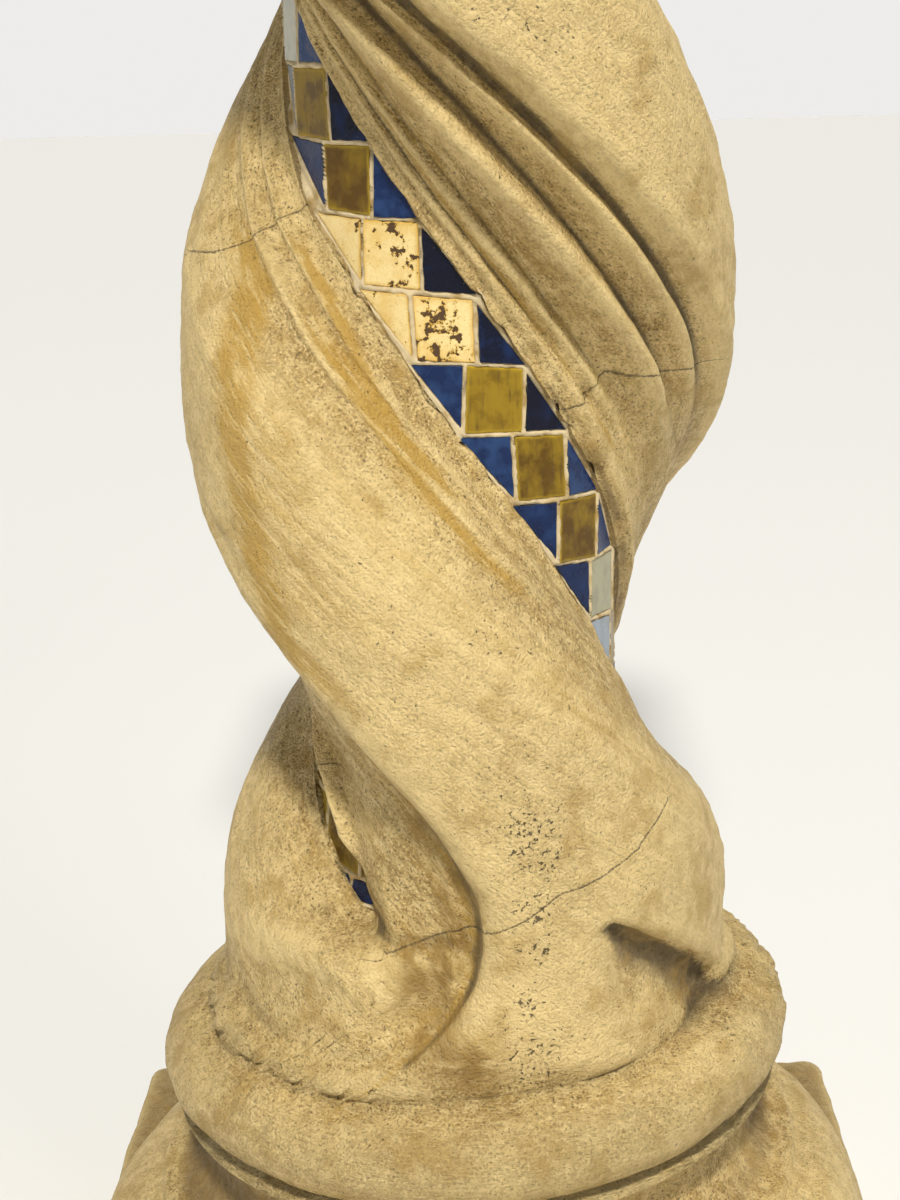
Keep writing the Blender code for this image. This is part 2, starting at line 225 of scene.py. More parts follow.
# Mosaic: rows of a left triangle, a square and a right triangle
ROW_TOP = 0.583                 # top of row 0 at the band's middle
ROW_PITCH = 0.024625
BACK_ROW_TOP = 0.5905           # the same on the back band
ROW_SLOPE = 0.066               # the rows drop this much towards the right
TILE_THICKNESS = 0.003
TILE_BEVEL = 0.00035
TILE_CROWN = 0.00009            # a tile's middle stands out this much
# Levels of a tile from its back to its face: share of the outline, height, share of the rim
TILE_LEVELS = [(1.0, -TILE_THICKNESS, 0.0), (1.0, -TILE_BEVEL, 0.0), (0.965, 0.0, 0.1),
               (0.75, 0.00006, 0.4), (0.35, 0.00008, 0.8)]
JOINT = 0.0008                  # half the usual width of a mortar joint
JOINT_SPREAD = (0.8, 1.2)
TILE_TILT = 0.022               # most rise of a tile's face per metre, sideways and up
SIDE_WAVER = 0.00018            # how far a tile's sides stray from straight
ASIDE_WAVES = [(0.0005, 40, 170), (0.0003, 0, 611)]     # how the joints stray sideways
UP_WAVES = [(0.0005, 90, -150), (0.0002, 590, 0)]       # and up
TUCK = 0.0022                   # how far the triangles' sharp corners run under the stone
TIP_CLEAR = 0.001               # tiles stop this far from the band's tips
LEAST_TILE = 0.006              # no tile is lower than this
MORTAR_MARGIN = 0.0022          # how far the bed runs on into the stone beside it
MORTAR_STEP = 0.0009
MORTAR_COLUMNS = 62
TILE_REACH = 0.003              # the bed follows a tile's plane this far beyond it
FAR_FROM_TILES = 0.004
MORTAR_UNDER = -0.0016          # height of the bed below the tiles' faces where they cover it
MORTAR_OVER = 0.00025           # and above them in the joints
MORTAR_EDGE = [(0.00045, 0.0035, 2, 5.0), (0.0003, 0.02, 2, 9.0)]
MORTAR_GRAIN = [(0.0002, 0.002, 2, 1.0)]
FLOOR_LAP = 0.001               # the bed's back lies this far inside the stone

# Cracks: direction in degrees and height, left to right
LEFT_CRACK = [(-175, 0.4963), (-164, 0.4966), (-157, 0.5010), (-153, 0.5085), (-146, 0.5135),
              (-143, 0.5136)]
RIGHT_CRACK = [(-51, 0.4428), (-45, 0.4444), (-43, 0.4496), (-39, 0.4553), (-36, 0.4531),
               (-25, 0.4520), (-13, 0.4529)]
FRONT_CRACK = [(-110, 0.2536), (-88, 0.2669), (-78, 0.2754), (-71, 0.2835), (-62, 0.2866),
               (-53, 0.2935), (-47, 0.3015), (-43, 0.3061)]
SMALL_CRACK = [(-148, 0.3095), (-140, 0.3135), (-133, 0.3140)]
CRACKS = (LEFT_CRACK, RIGHT_CRACK, FRONT_CRACK, SMALL_CRACK)

# Ridges and grooves worked by hand: half width and depth in metres, then the line
CARVED_LINES = [
    (0.0030, -0.0016, [(-164, 0.214), (-153, 0.2035), (-143, 0.2009), (-133, 0.2008),
                       (-122, 0.2053), (-112, 0.2119), (-105, 0.2190)]),
    (0.0045, 0.0016, [(-160, 0.222), (-145, 0.2159), (-133, 0.2166), (-120, 0.2230)]),
    (0.0024, -0.0014, [(-95.5, 0.2930), (-94, 0.2849), (-92.5, 0.2767), (-92.0, 0.2605),
                       (-93.5, 0.2421)]),
    (0.0030, 0.0040, [(-59, 0.2650), (-52, 0.2584), (-45, 0.2509), (-31, 0.2350),
                      (-20, 0.2208)]),
    (0.0060, -0.0028, [(-66, 0.2190), (-52, 0.2120), (-38, 0.2070), (-24, 0.2060)]),
    (0.0030, -0.0015, [(-60, 0.2290), (-48, 0.2260), (-36, 0.2170)]),
    (0.0050, -0.0012, [(-88, 0.2100), (-74, 0.2090), (-60, 0.2060)]),
    (0.0012, -0.0010, [(-104, 0.2010), (-98, 0.1985), (-93, 0.2000)]),
    (0.0016, -0.0012, [(-70, 0.2030), (-66, 0.2010), (-61, 0.2030)]),
]

# Chips knocked out of the lips: direction in degrees, height, reach and depth in metres
CHIPS = [
    (-148.0, 0.4740, 0.0024, 0.0020), (-137.0, 0.4760, 0.0018, 0.0016),
    (-140.0, 0.4700, 0.0030, 0.0014), (-48.0, 0.4370, 0.0030, 0.0022),
    (-44.0, 0.4480, 0.0022, 0.0018), (-40.0, 0.4560, 0.0026, 0.0016),
    (-123.0, 0.4860, 0.0035, 0.0024), (-117.0, 0.4800, 0.0028, 0.0020),
    (-109.0, 0.4705, 0.0026, 0.0018), (-97.0, 0.4515, 0.0034, 0.0022),
    (-87.5, 0.4360, 0.0030, 0.0022), (-78.0, 0.4200, 0.0026, 0.0018),
    (-80.0, 0.4840, 0.0034, 0.0024), (-72.0, 0.4725, 0.0026, 0.0020),
    (-63.0, 0.4615, 0.0034, 0.0022), (-53.9, 0.4450, 0.0030, 0.0024),
    (-36.0, 0.4195, 0.0028, 0.0020),
]

# Clusters of small dark pits: direction in degrees, height, reach in metres, density
PITTED = [
    (-78.5, 0.3202, 0.010, 0.6), (-76.7, 0.3090, 0.012, 1.0), (-74.7, 0.2976, 0.010, 1.0),
    (-76.5, 0.2795, 0.010, 0.9), (-75.4, 0.2642, 0.009, 0.8), (-78.0, 0.2420, 0.010, 0.7),
    (-77.0, 0.2220, 0.012, 0.8), (-83.7, 0.3769, 0.014, 0.4), (-71.8, 0.5694, 0.012, 0.5),
    (-83.4, 0.5471, 0.012, 0.4), (-30.0, 0.2120, 0.014, 0.6), (-131.0, 0.4890, 0.004, 1.0),
]

# Brown stains on the foot: direction in degrees, height, reach in metres, strength
BLOTS = [
    (-94.8, 0.2726, 0.008, 0.8), (-92.5, 0.2613, 0.008, 1.0), (-95.2, 0.2517, 0.009, 1.0),
    (-101.5, 0.2451, 0.010, 0.9), (-104.0, 0.2560, 0.009, 0.8), (-96.0, 0.2360, 0.008, 0.8),
    (-99.6, 0.2240, 0.009, 0.8), (-94.0, 0.2230, 0.010, 0.9), (-89.4, 0.2200, 0.011, 1.0),
    (-85.4, 0.2150, 0.009, 0.8), (-92.0, 0.2860, 0.005, 0.6), (-104.0, 0.3180, 0.006, 0.8),
    (-99.5, 0.3060, 0.005, 0.9),
]

STAIN_FADE = 0.03               # the streaks fade out over this height
# Ochre streaks on the strands: phases at their low and high ends, those heights, spread,
# strength
STAINS = [
    (0.188, 0.157, 0.437, 0.482, 0.009, 1.5),
    (0.225, 0.195, 0.400, 0.460, 0.014, 0.9),
    (0.575, 0.235, 0.372, 0.490, 0.026, 1.1),
    (0.470, 0.330, 0.390, 0.440, 0.060, 0.4),
    (0.330, 0.300, 0.300, 0.420, 0.030, 0.3),
    (0.830, 0.815, 0.430, 0.620, 0.007, 0.6),
    (0.790, 0.780, 0.430, 0.620, 0.009, 0.4),
    (0.645, 0.640, 0.215, 0.380, 0.014, 0.6),
    (0.690, 0.660, 0.230, 0.320, 0.030, 0.4),
]


def smooth(low, high, value):
    """0 below low, 1 above high, an easy curve between."""
    share = np.clip((value - low) / (high - low), 0.0, 1.0)
    return share * share * (3 - 2 * share)


def mix(a, b, share):
    return a + (b - a) * share


def near(distance, reach):
    """1 at no distance, fading out beyond the reach."""
    return np.exp(-(distance / reach) ** 2)


def between(value, start, full, fading, end):
    """1 from full to fading, 0 before start and after end."""
    return smooth(start, full, value) * (1 - smooth(fading, end, value))


def waves(terms, across, height):
    """Sine waves added up: size of each, then its turns across and up."""
    return sum(size * np.sin(turns * across + rise * height) for size, turns, rise in terms)


# Heights worked out from the sizes above
LOWER_TORUS_TOP = PLINTH_HEIGHT + LOWER_TORUS_HEIGHT
FILLET_TOP = LOWER_TORUS_TOP + FILLET_HEIGHT
SCOTIA_TOP = FILLET_TOP + SCOTIA_HEIGHT
SHAFT_FOOT = SCOTIA_TOP + UPPER_TORUS_HEIGHT
SHAFT_TOP = SHAFT_FOOT + SHAFT_HEIGHT
NECK_RING_TOP = SHAFT_TOP + NECK_RING_HEIGHT
BELL_TOP = NECK_RING_TOP + BELL_HEIGHT
CAPITAL_TORUS_TOP = BELL_TOP + CAPITAL_TORUS_HEIGHT
BAND_LOW = BAND_FOOT - BAND_END_GAP
BAND_HIGH = BAND_HEAD + BAND_END_GAP
BAND_HALF_PHASE = BAND_WIDTH / BAND_RADIUS / pi / 2


# The strands' layout, the same as the solid's

def band_angle(height):
    """Direction of the middle of the first mosaic band at a height."""
    return -pi / 2 + (BAND_FRONT_HEIGHT - height) * pi / STRAND_RISE


def band_half(height):
    """Half the band's width as a phase, narrowing to a pointed tip at each end."""
    reach = np.minimum(height - BAND_LOW, BAND_HIGH - height) / BAND_POINT
    share = np.clip(reach, 0.0, 1.0) ** BAND_TAPER
    least = BAND_HALF_PHASE * BAND_TIP_WIDTH / BAND_WIDTH
    return mix(least, BAND_HALF_PHASE, share)


def band_extra(height):
    """How much wider than ruled the groove was cut on its lower side, in metres."""
    high = between(height, *WIDE_HEIGHTS)
    ends = smooth(BAND_LOW, BAND_LOW + BAND_POINT, height)
    return ends * mix(BAND_LEAST_EXTRA, BAND_MOST_EXTRA, high)


def foot_share(height):
    """1 where a strand has its foot's profile, 0 where it has its own."""
    return 1 - smooth(SHAFT_FOOT + FOOT_MERGE, SHAFT_FOOT + FOOT_SHAPE, height)


def edge_phase(height):
    """The strand's edge swings round under it as it nears the foot."""
    reach = (SHAFT_FOOT + FOOT_SWEEP - height) / FOOT_SWEEP
    return EDGE_PHASE + FOOT_EDGE_SHIFT * np.clip(reach, 0.0, 1.0) ** FOOT_TURN


def seam_phase(height):
    """Middle of the band, pushed along where the edge would run into it."""
    return np.maximum(0.0, edge_phase(height) + SEAM_CLEAR - 1.0)


def real_phase(phase, height):
    """Where a profile phase lies on the shaft at a height."""
    half, seam = band_half(height), seam_phase(height)
    extra = band_extra(height) / BAND_RADIUS / pi
    stops = [
        (0.0, seam),
        (BAND_HALF_PHASE, seam + half + extra),
        (EDGE_PHASE, edge_phase(height)),
        (1 - BAND_HALF_PHASE, 1 + seam - half),
        (1.0, 1 + seam),
    ]
    place = stops[0][1]
    for (low, start), (high, end) in zip(stops, stops[1:]):
        place = place + (end - start) * np.clip((phase - low) / (high - low), 0.0, 1.0)
    return place


def eased_profile(points, rim):
    """A profile read at even phases, its corners rounded by a narrow blur."""
    phases = np.linspace(0.0, 1.0, PROFILE_SAMPLES)
    shares = np.interp(phases, *zip(*points), left=rim, right=rim)
    reach = int(3 * PROFILE_EASE * PROFILE_SAMPLES)
    steps = np.arange(-reach, reach + 1) / (PROFILE_EASE * PROFILE_SAMPLES)
    kernel = np.exp(-steps ** 2 / 2)
    padded = np.pad(shares, reach, mode="edge")
    return phases, np.convolve(padded, kernel / kernel.sum(), mode="valid")


OWN_PROFILE = eased_profile(STRAND_PROFILE, RIM)
SOFT_EASED = eased_profile(SOFT_PROFILE, RIM)
FOOT_EASED = eased_profile(FOOT_PROFILE, FOOT_PROFILE[0][1])
CLOSED_EASED = eased_profile(CLOSED_PROFILE, CLOSED_PROFILE[0][1])


def wander(phase, height):
    """The folds weren't ruled: they drift a little along the shaft."""
    return FOLD_WANDER * between(phase, *FOLD_PHASES) * waves(FOLD_WAVES, phase, height)


def roll_size(angle, height):
    """How far the slim roll round the foot of the shaft stands out; it's worn off in front."""
    reach = np.clip((height - SHAFT_FOOT) / ROLL_HEIGHT * 2 - 1, -1.0, 1.0)
    from_front = np.abs((angle - ROLL_WORN_MIDDLE + pi) % (2 * pi) - pi)
    kept = smooth(ROLL_WORN_HALF, ROLL_WORN_HALF + 0.35, from_front)
    return (ROLL_RADIUS - SHAFT_RADIUS) * kept * (1 - reach ** 2) ** 0.7


def cover(phase, height):
    """Low down, the lip above a band stands out over it."""
    window = between(height, *COVER_HEIGHTS)
    return COVER_HEIGHT * window * near(phase - COVER_PHASE, COVER_SPREAD)


def strand_radius(phase, height):
    """Radius of the carved surface beside the bands."""
    phase = np.clip(phase, BAND_HALF_PHASE, 1 - BAND_HALF_PHASE)
    drifted = phase + wander(phase, height)
    low_side = 1 - smooth(*LOW_SIDE, phase)
    longer = LOW_FOLDS_LONGER * low_side
    strength = mix(FOLD_STRENGTH, LOW_FOLD_STRENGTH, low_side)
    folded = strength * smooth(SOFT_BELOW - longer, FOLDED_ABOVE - longer, height)
    own = mix(np.interp(drifted, *SOFT_EASED), np.interp(drifted, *OWN_PROFILE), folded)
    closing = 1 - smooth(BAND_LOW - CLOSING_HEIGHT, BAND_LOW, height)
    foot = mix(np.interp(phase, *FOOT_EASED), np.interp(phase, *CLOSED_EASED), closing)
    share = mix(own, foot, foot_share(height))
    share = mix(1.0, share, smooth(SHAFT_FOOT, SHAFT_FOOT + FOOT_MERGE, height))
    neck = NECK_RADIUS / SHAFT_RADIUS
    share = mix(share, neck, smooth(SHAFT_TOP - NECK_MERGE, SHAFT_TOP, height))
    return SHAFT_RADIUS * share + cover(phase, height)


def face_radius(height):
    """Radius of the mosaic's face at a height."""
    return BAND_RADIUS + strand_radius(BAND_HALF_PHASE, height) - SHAFT_RADIUS * RIM


def gash_depth(angle, height):
    """A torn notch low on the front, with the stone flattened below it."""
    along = (angle - GASH_START_ANGLE) / (GASH_END_ANGLE - GASH_START_ANGLE)
    below = mix(GASH_START_HEIGHT, GASH_END_HEIGHT, along) - height
    across = between(along, *GASH_ENDS)
    return GASH_DEPTH * across * between(below, 0.0, GASH_LIP, GASH_LIP, GASH_REACH)


def lean(x, height):
    """Rise of the hand-run base mouldings towards +X."""
    return BASE_TILT * x * between(height, PLINTH_HEIGHT, LOWER_TORUS_TOP, SHAFT_FOOT,
                                   SHAFT_FOOT + FOOT_SWEEP)


def turned(radius, angle, height):
    """Points from their distance to the axis, direction and height, with the lean."""
    x, y = radius * np.cos(angle), radius * np.sin(angle)
    return np.stack([x, y, height + lean(x, height)], axis=-1)


# The grid of points round the column

def carved_phases():
    """Phases of one strand's columns of points, closer together over the folds."""
    fine = np.linspace(0.0, 1.0, 2001)
    folds = smooth(0.30, 0.24, fine) + smooth(0.60, 0.63, fine)
    weight = np.cumsum(1.0 + 1.6 * folds)
    start = BAND_HALF_PHASE + LIP_PHASES[-1] + 0.003
    low, high = np.interp([start, 1 - start], fine, weight)
    return np.interp(np.linspace(low, high, CARVED_COLUMNS), weight, fine)


def strand_columns():
    """Phase of each column of points of one strand, and whether it lies in the groove."""
    floor = [share * BAND_HALF_PHASE for share in FLOOR_PHASES]
    lips = [BAND_HALF_PHASE + step for step in LIP_PHASES]
    low_side = floor + lips
    high_side = [1 - phase for phase in reversed(low_side[1:])]
    phases = np.array(low_side + list(carved_phases()) + high_side)
    grooved = (phases < BAND_HALF_PHASE) | (phases > 1 - BAND_HALF_PHASE)
    return phases, grooved


PHASES, GROOVED = strand_columns()
RING = 2 * len(PHASES)
STEP = 2 * pi / RING


def ring_angles(height):
    """Directions of a ring's points: along the strands on the shaft, even steps beyond."""
    nearest = np.clip(height, SHAFT_FOOT, SHAFT_TOP)
    strands = [band_angle(nearest) - pi * (strand + real_phase(PHASES, nearest))
               for strand in (0, 1)]
    following = np.concatenate(strands, axis=1)
    even = (np.round(band_angle(nearest) / STEP) - np.arange(RING)) * STEP
    share = between(height, PLINTH_HEIGHT, SHAFT_FOOT, SHAFT_TOP, CAPITAL_TORUS_TOP)
    return mix(even, following, share)


def arc(centre, width, height, start, end, steps):
    """Radius and height of points round an elliptical moulding, angles in radians."""
    angles = np.linspace(start, end, steps + 1)
    radii = centre[0] + width * np.cos(angles)
    heights = centre[1] + height / 2 * np.sin(angles)
    return list(zip(radii, heights))


def base_profile():
    """Turned base from the plinth's top to the foot of the shaft."""
    half = LOWER_TORUS_HEIGHT / 2
    low = arc((LOWER_TORUS_RADIUS - half, PLINTH_HEIGHT + half), half,
              LOWER_TORUS_HEIGHT, -1.3, 1.35, 18)
    fillet = [(FILLET_RADIUS + 0.0006, LOWER_TORUS_TOP), (FILLET_RADIUS, FILLET_TOP - 0.001),
              (FILLET_RADIUS - 0.001, FILLET_TOP)]
    scotia = arc((SCOTIA_LIP, mix(FILLET_TOP, SCOTIA_TOP, 0.5)), SCOTIA_WAIST - SCOTIA_LIP,
                 SCOTIA_HEIGHT, -1.45, 1.25, 14)
    root = UPPER_TORUS_RADIUS - UPPER_TORUS_WIDTH
    high = arc((root, SCOTIA_TOP + UPPER_TORUS_HEIGHT / 2), UPPER_TORUS_WIDTH,
               UPPER_TORUS_HEIGHT, -1.1, 1.35, 14)
    return low + fillet + scotia + high


def capital_profile():
    """Turned capital from the neck ring to the underside of the abacus."""
    ring = arc((NECK_RADIUS, SHAFT_TOP + NECK_RING_HEIGHT / 2),
               NECK_RING_RADIUS - NECK_RADIUS, NECK_RING_HEIGHT, -1.35, 1.35, 8)
    flare = arc((BELL_RADIUS, NECK_RING_TOP), NECK_RADIUS - BELL_RADIUS,
                2 * BELL_HEIGHT, 0.06, 1.45, 8)
    root = CAPITAL_TORUS_RADIUS - CAPITAL_TORUS_HEIGHT / 2
    high = arc((root, BELL_TOP + CAPITAL_TORUS_HEIGHT / 2), CAPITAL_TORUS_HEIGHT / 2,
               CAPITAL_TORUS_HEIGHT, -1.25, 1.3, 9)
    return ring + flare + high


def round_rings(profile):
    """Rings of a turned profile, as x, y and z arrays with a row for each level."""
    radius, height = (np.array(column)[:, None] for column in zip(*profile))
    return turned(radius, ring_angles(height), height)


def square_ring(side, height, lined_up):
    """A square with rounded corners, its points lined up with the strands at a height."""
    quarter = RING // 4
    start = int(np.round(band_angle(lined_up) / STEP)) - np.arange(RING)
    place = (start - quarter // 2) % quarter / quarter * 2 - 1
    turn = ((start - quarter // 2) // quarter + 1) * (pi / 2)
    straight = side / 2 - PLINTH_ROUND
    corner = np.clip((np.abs(place) - STRAIGHT_SHARE) / (1 - STRAIGHT_SHARE), 0.0, 1.0) * (pi / 4)
    along = np.clip(np.abs(place) / STRAIGHT_SHARE, 0.0, 1.0) * straight
    across = (along + PLINTH_ROUND * np.sin(corner)) * np.sign(place)
    out = straight + PLINTH_ROUND * np.cos(corner)
    x = out * np.cos(turn) - across * np.sin(turn)
    y = out * np.sin(turn) + across * np.cos(turn)
    return np.stack([x, y, np.full(RING, height)], axis=1)


def slab_rings(side, low, high, lined_up):
    """Rings of a square block with worn edges above and below."""
    levels = [(low, SLAB_EDGE), (low + SLAB_EDGE * 0.3, SLAB_EDGE * 0.3),
              (low + SLAB_EDGE, 0.0)]
    levels += [(mix(low, high, share), 0.0) for share in (0.25, 0.42, 0.6, 0.78)]
    levels += [(high - SLAB_EDGE, 0.0), (high - SLAB_EDGE * 0.3, SLAB_EDGE * 0.3),
               (high, SLAB_EDGE)]
    return np.stack([square_ring(side - 2 * inset, height, lined_up)
                     for height, inset in levels])


def deck_rings(square, circle, shares):
    """Rings across the flat between a block's edge and the moulding next to it."""
    return np.stack([mix(square, circle, share) for share in shares])


def shaft_heights():
    fine = np.arange(SHAFT_FOOT + SHAFT_STEP, FINE_TOP, SHAFT_STEP)
    coarse = np.arange(fine[-1] + UPPER_SHAFT_STEP, SHAFT_TOP - 0.001, UPPER_SHAFT_STEP)
    return np.concatenate([fine, coarse])[:, None]


def shaft_rings():
    """The twisted shaft, its mosaic grooves let in."""
    height = shaft_heights()
    angle = ring_angles(height)
    phase = np.tile(PHASES, 2)[None, :]
    radius = strand_radius(phase, height) - gash_depth(angle, height)
    radius = radius + roll_size(angle, height)
    inside = between(height, BAND_LOW - BAND_ENDS, BAND_LOW + BAND_ENDS,
                     BAND_HIGH - BAND_ENDS, BAND_HIGH + BAND_ENDS)
    sunk = face_radius(height) - BAND_DEPTH
    radius = mix(radius, sunk, inside * np.tile(GROOVED, 2)[None, :])
    return turned(radius, angle, height)


def stone_grid():
    """All the column's points as one grid: a row for each level, from the floor up."""
    base = round_rings(base_profile())
    plinth = slab_rings(PLINTH_SIDE, 0.0, PLINTH_HEIGHT, SHAFT_FOOT)
    deck = deck_rings(plinth[-1], base[0] + (0, 0, -0.0005), (0.12, 0.3, 0.5, 0.68, 0.84, 0.95))
    capital = round_rings(capital_profile())
    abacus = slab_rings(ABACUS_SIDE, CAPITAL_TORUS_TOP, TOTAL_HEIGHT, SHAFT_TOP)
    soffit = deck_rings(capital[-1], abacus[0], (0.08, 0.5))
    return np.concatenate([plinth, deck, base, shaft_rings(), capital, soffit, abacus])


def grid_normals(grid):
    """Outward directions of a grid of points that closes on itself sideways."""
    sideways = np.roll(grid, -1, axis=1) - np.roll(grid, 1, axis=1)
    upward = np.gradient(grid, axis=0)
    normal = np.cross(upward, sideways)
    length = np.linalg.norm(normal, axis=2, keepdims=True)
    return normal / np.maximum(length, 1e-12)


def grid_blur(grid, reach):
    """Mean of each point's neighbours up to some steps away on the grid."""
    total = np.zeros_like(grid)
    for step in range(-reach, reach + 1):
        total += np.roll(grid, step, axis=1)
    rows = len(grid)
    total /= 2 * reach + 1
    padded = np.concatenate([total[:1].repeat(reach, axis=0), total,
                             total[-1:].repeat(reach, axis=0)])
    return sum(padded[step:step + rows] for step in range(2 * reach + 1)) / (2 * reach + 1)


def noise_field(points, scale, octaves=3, seed=0.0):
    """Soft noise from -1 to 1 at each point, scale in metres."""
    shift = Vector((seed, seed * 1.7, -seed))
    flat = points.reshape(-1, 3) / scale
    values = [noise.fractal(Vector(point) + shift, 1.0, 2.0, octaves) for point in flat]
    return np.array(values).reshape(points.shape[:-1])


def noise_layers(points, layers):
    """Noises added up: height of each in metres, then its size, octaves and seed."""
    return sum(height * noise_field(points, *kind) for height, *kind in layers)


def flow_points(grid):
    """Points untwisted and squeezed along the strands, so that noise there runs along them."""
    x, y, z = grid[..., 0], grid[..., 1], grid[..., 2]
    radius = np.hypot(x, y)
    twist = np.arctan2(y, x) - band_angle(np.clip(z, SHAFT_FOOT, SHAFT_TOP))
    shaft = np.stack([radius * np.cos(twist), radius * np.sin(twist), FLOW_SQUEEZE * z], axis=2)
    rounded = np.stack([z + radius, FLOW_SQUEEZE * x, FLOW_SQUEEZE * y], axis=2)
    share = between(z, SCOTIA_TOP, SHAFT_FOOT + 0.02, SHAFT_TOP - 0.02, SHAFT_TOP)
    return mix(rounded, shaft, share[..., None])


# Marks on the stone

def column_phases(grid):
    """Phase of each point across its strand, on the grid's columns."""
    return np.broadcast_to(np.tile(PHASES, 2), grid.shape[:2])


def on_shaft(grid):
    """1 on the twisted shaft, 0 on the base below it."""
    return smooth(SHAFT_FOOT, SHAFT_FOOT + 0.02, grid[..., 2])


def stone_stain(grid):
    """Ochre that has run down the hollows beside the bands, 0 to 1."""
    phase, z = column_phases(grid), grid[..., 2]
    stain = np.zeros(z.shape)
    for low_phase, high_phase, low, high, spread, strength in STAINS:
        place = np.interp(z, (low, high), (low_phase, high_phase))
        window = between(z, low - STAIN_FADE, low, high, high + STAIN_FADE)
        stain = np.maximum(stain, strength * near(phase - place, spread) * window)
    return stain


def spots(grid, places):
    """Soft round spots given as direction in degrees, height, reach and strength."""
    total = np.zeros(grid.shape[:2])
    for degrees, height, reach, strength in places:
        place = np.array([np.cos(np.radians(degrees)), np.sin(np.radians(degrees))])
        facing = grid[..., :2] @ place / np.linalg.norm(grid[..., :2], axis=2)
        across = np.arccos(np.clip(facing, -1.0, 1.0)) * SHAFT_RADIUS
        away = np.hypot(across, grid[..., 2] - height)
        total = np.maximum(total, strength * near(away, reach))
    return total


def carve_lines(grid):
    """How far the hand-worked ridges and grooves lie below the plain surface."""
    depth = np.zeros(grid.shape[:2])
    for width, deep, path in CARVED_LINES:
        depth += deep * near(path_distance(grid, path)[0], width)
    return depth


def path_distance(grid, path):
    """Distance to a line given as directions in degrees and heights, and the side of it."""
    angle = np.arctan2(grid[..., 1], grid[..., 0])
    radius = np.hypot(grid[..., 0], grid[..., 1])
    z = grid[..., 2]
    best = np.full(z.shape, 1.0)
    side = np.full(z.shape, 1.0)
    for (angle0, z0), (angle1, z1) in zip(path, path[1:]):
        start = (angle - np.radians(angle0) + pi) % (2 * pi) - pi
        across, up = start * radius, z - z0
        run, rise = np.radians(angle1 - angle0) * radius, z1 - z0
        share = np.clip((across * run + up * rise) / (run ** 2 + rise ** 2), 0.0, 1.0)
        gap_x, gap_z = across - run * share, up - rise * share
        distance = np.hypot(gap_x, gap_z)
        nearer = distance < best
        side = np.where(nearer, np.sign(run * up - rise * across), side)
        best = np.minimum(best, distance)
    return best, side


def crack_distance(grid):
    """Distance to the nearest crack, signed so that it crosses zero between points."""
    crack = np.full(grid.shape[:2], 1.0)
    for path in CRACKS:
        distance, side = path_distance(grid, path)
        crack = np.where(distance < np.abs(crack), distance * side, crack)
    return crack


def weathering(grid, flow):
    """How far the worn surface stands out from the clean one."""
    z = grid[..., 2]
    edge = between(z, 0.0, EVEN_ENDS, TOTAL_HEIGHT - EVEN_ENDS, TOTAL_HEIGHT)
    rough = noise_layers(grid, WEAR) + noise_layers(flow, DRAWN_WEAR)
    flakes = smooth(0.0, 0.15, noise_field(flow, 0.008, 3, 21.0))
    rough = rough + FLAKE_HEIGHT * near(z - SHAFT_FOOT, FLAKE_REACH) * flakes
    rough = rough * edge - carve_lines(grid) - spots(grid, CHIPS)
    lips = np.exp(-((column_phases(grid) - 0.5) ** 2 - LIP_SQUARE) ** 2 / LIP_NARROWNESS)
    return rough + noise_layers(grid, LIP_WEAR) * lips * on_shaft(grid)


def sunk_depth(clean, normals, kind, plain, low_side):
    """Depth below the surroundings; hollows count for less on mouldings and low sides."""
    steps, on_plain, on_low_side = kind
    depth = np.sum((grid_blur(clean, steps) - clean) * normals, axis=2)
    factor = mix(1.0, on_plain, plain) * mix(1.0, on_low_side, low_side)
    return np.where(depth > 0, depth * factor, depth)


def hollows(grid, clean, normals):
    """Depth of each point below its near and its wider surroundings: the stone is painted darker in
    hollows as shade and paler on crests as highlight and wear, with dirt and painted shade on the
    plinth's top, dirt along the bands' upper lips and painted shade with stain under the hooked
    lip.
    """
    z, phase, shaft = grid[..., 2], column_phases(grid), on_shaft(grid)
    plain = between(z, LOWER_TORUS_TOP, SCOTIA_TOP, *FOOT_FADES)
    plain = np.maximum(plain, smooth(SHAFT_TOP - 0.01, SHAFT_TOP, z))
    low_side = shaft * (1 - smooth(*LESS_SHADED_SIDE, phase))
    beside = np.minimum(phase - BAND_HALF_PHASE, 1 - BAND_HALF_PHASE - phase)
    fine = sunk_depth(clean, normals, NARROW_HOLLOWS, plain, low_side)
    fine = fine * mix(0.15, smooth(0.02, 0.03, beside), shaft)
    broad = sunk_depth(clean, normals, WIDE_HOLLOWS, plain, low_side)
    # dirt and painted shade on the plinth's top
    broad = np.where(np.abs(z - PLINTH_HEIGHT) < DECK_REACH, DECK_DIRT_AND_SHADE, broad)
    patchy = smooth(-0.25, 0.2, noise_field(grid, 0.018, 3, 15.0))
    lip = near(phase - LIP_DIRT_PHASE, LIP_DIRT_SPREAD) * shaft
    # painted shade with some brown stain under the hooked lip
    hook = near(phase - HOOK_SHADE_AND_STAIN_PHASE, HOOK_SHADE_AND_STAIN_SPREAD) * between(z, *HOOK_SHADE_AND_STAIN_HEIGHTS)
    fine = mix(fine, HOOK_SHADE_AND_STAIN, hook * mix(0.5, 1.0, patchy))
    return fine, mix(broad, LIP_DIRT, lip * patchy)


# Building meshes

def link_mesh(name, points, faces, material):
    mesh = bpy.data.meshes.new(name)
    mesh.from_pydata(points, [], faces)
    mesh.materials.append(material)
    mesh.shade_smooth()
    piece = bpy.data.objects.new(name, mesh)
    bpy.context.scene.collection.objects.link(piece)
    return piece


def add_values(piece, name, values, kind="FLOAT", field="value"):
    layer = piece.data.attributes.new(name, kind, "POINT")
    layer.data.foreach_set(field, np.ascontiguousarray(values, dtype=np.float32).ravel())


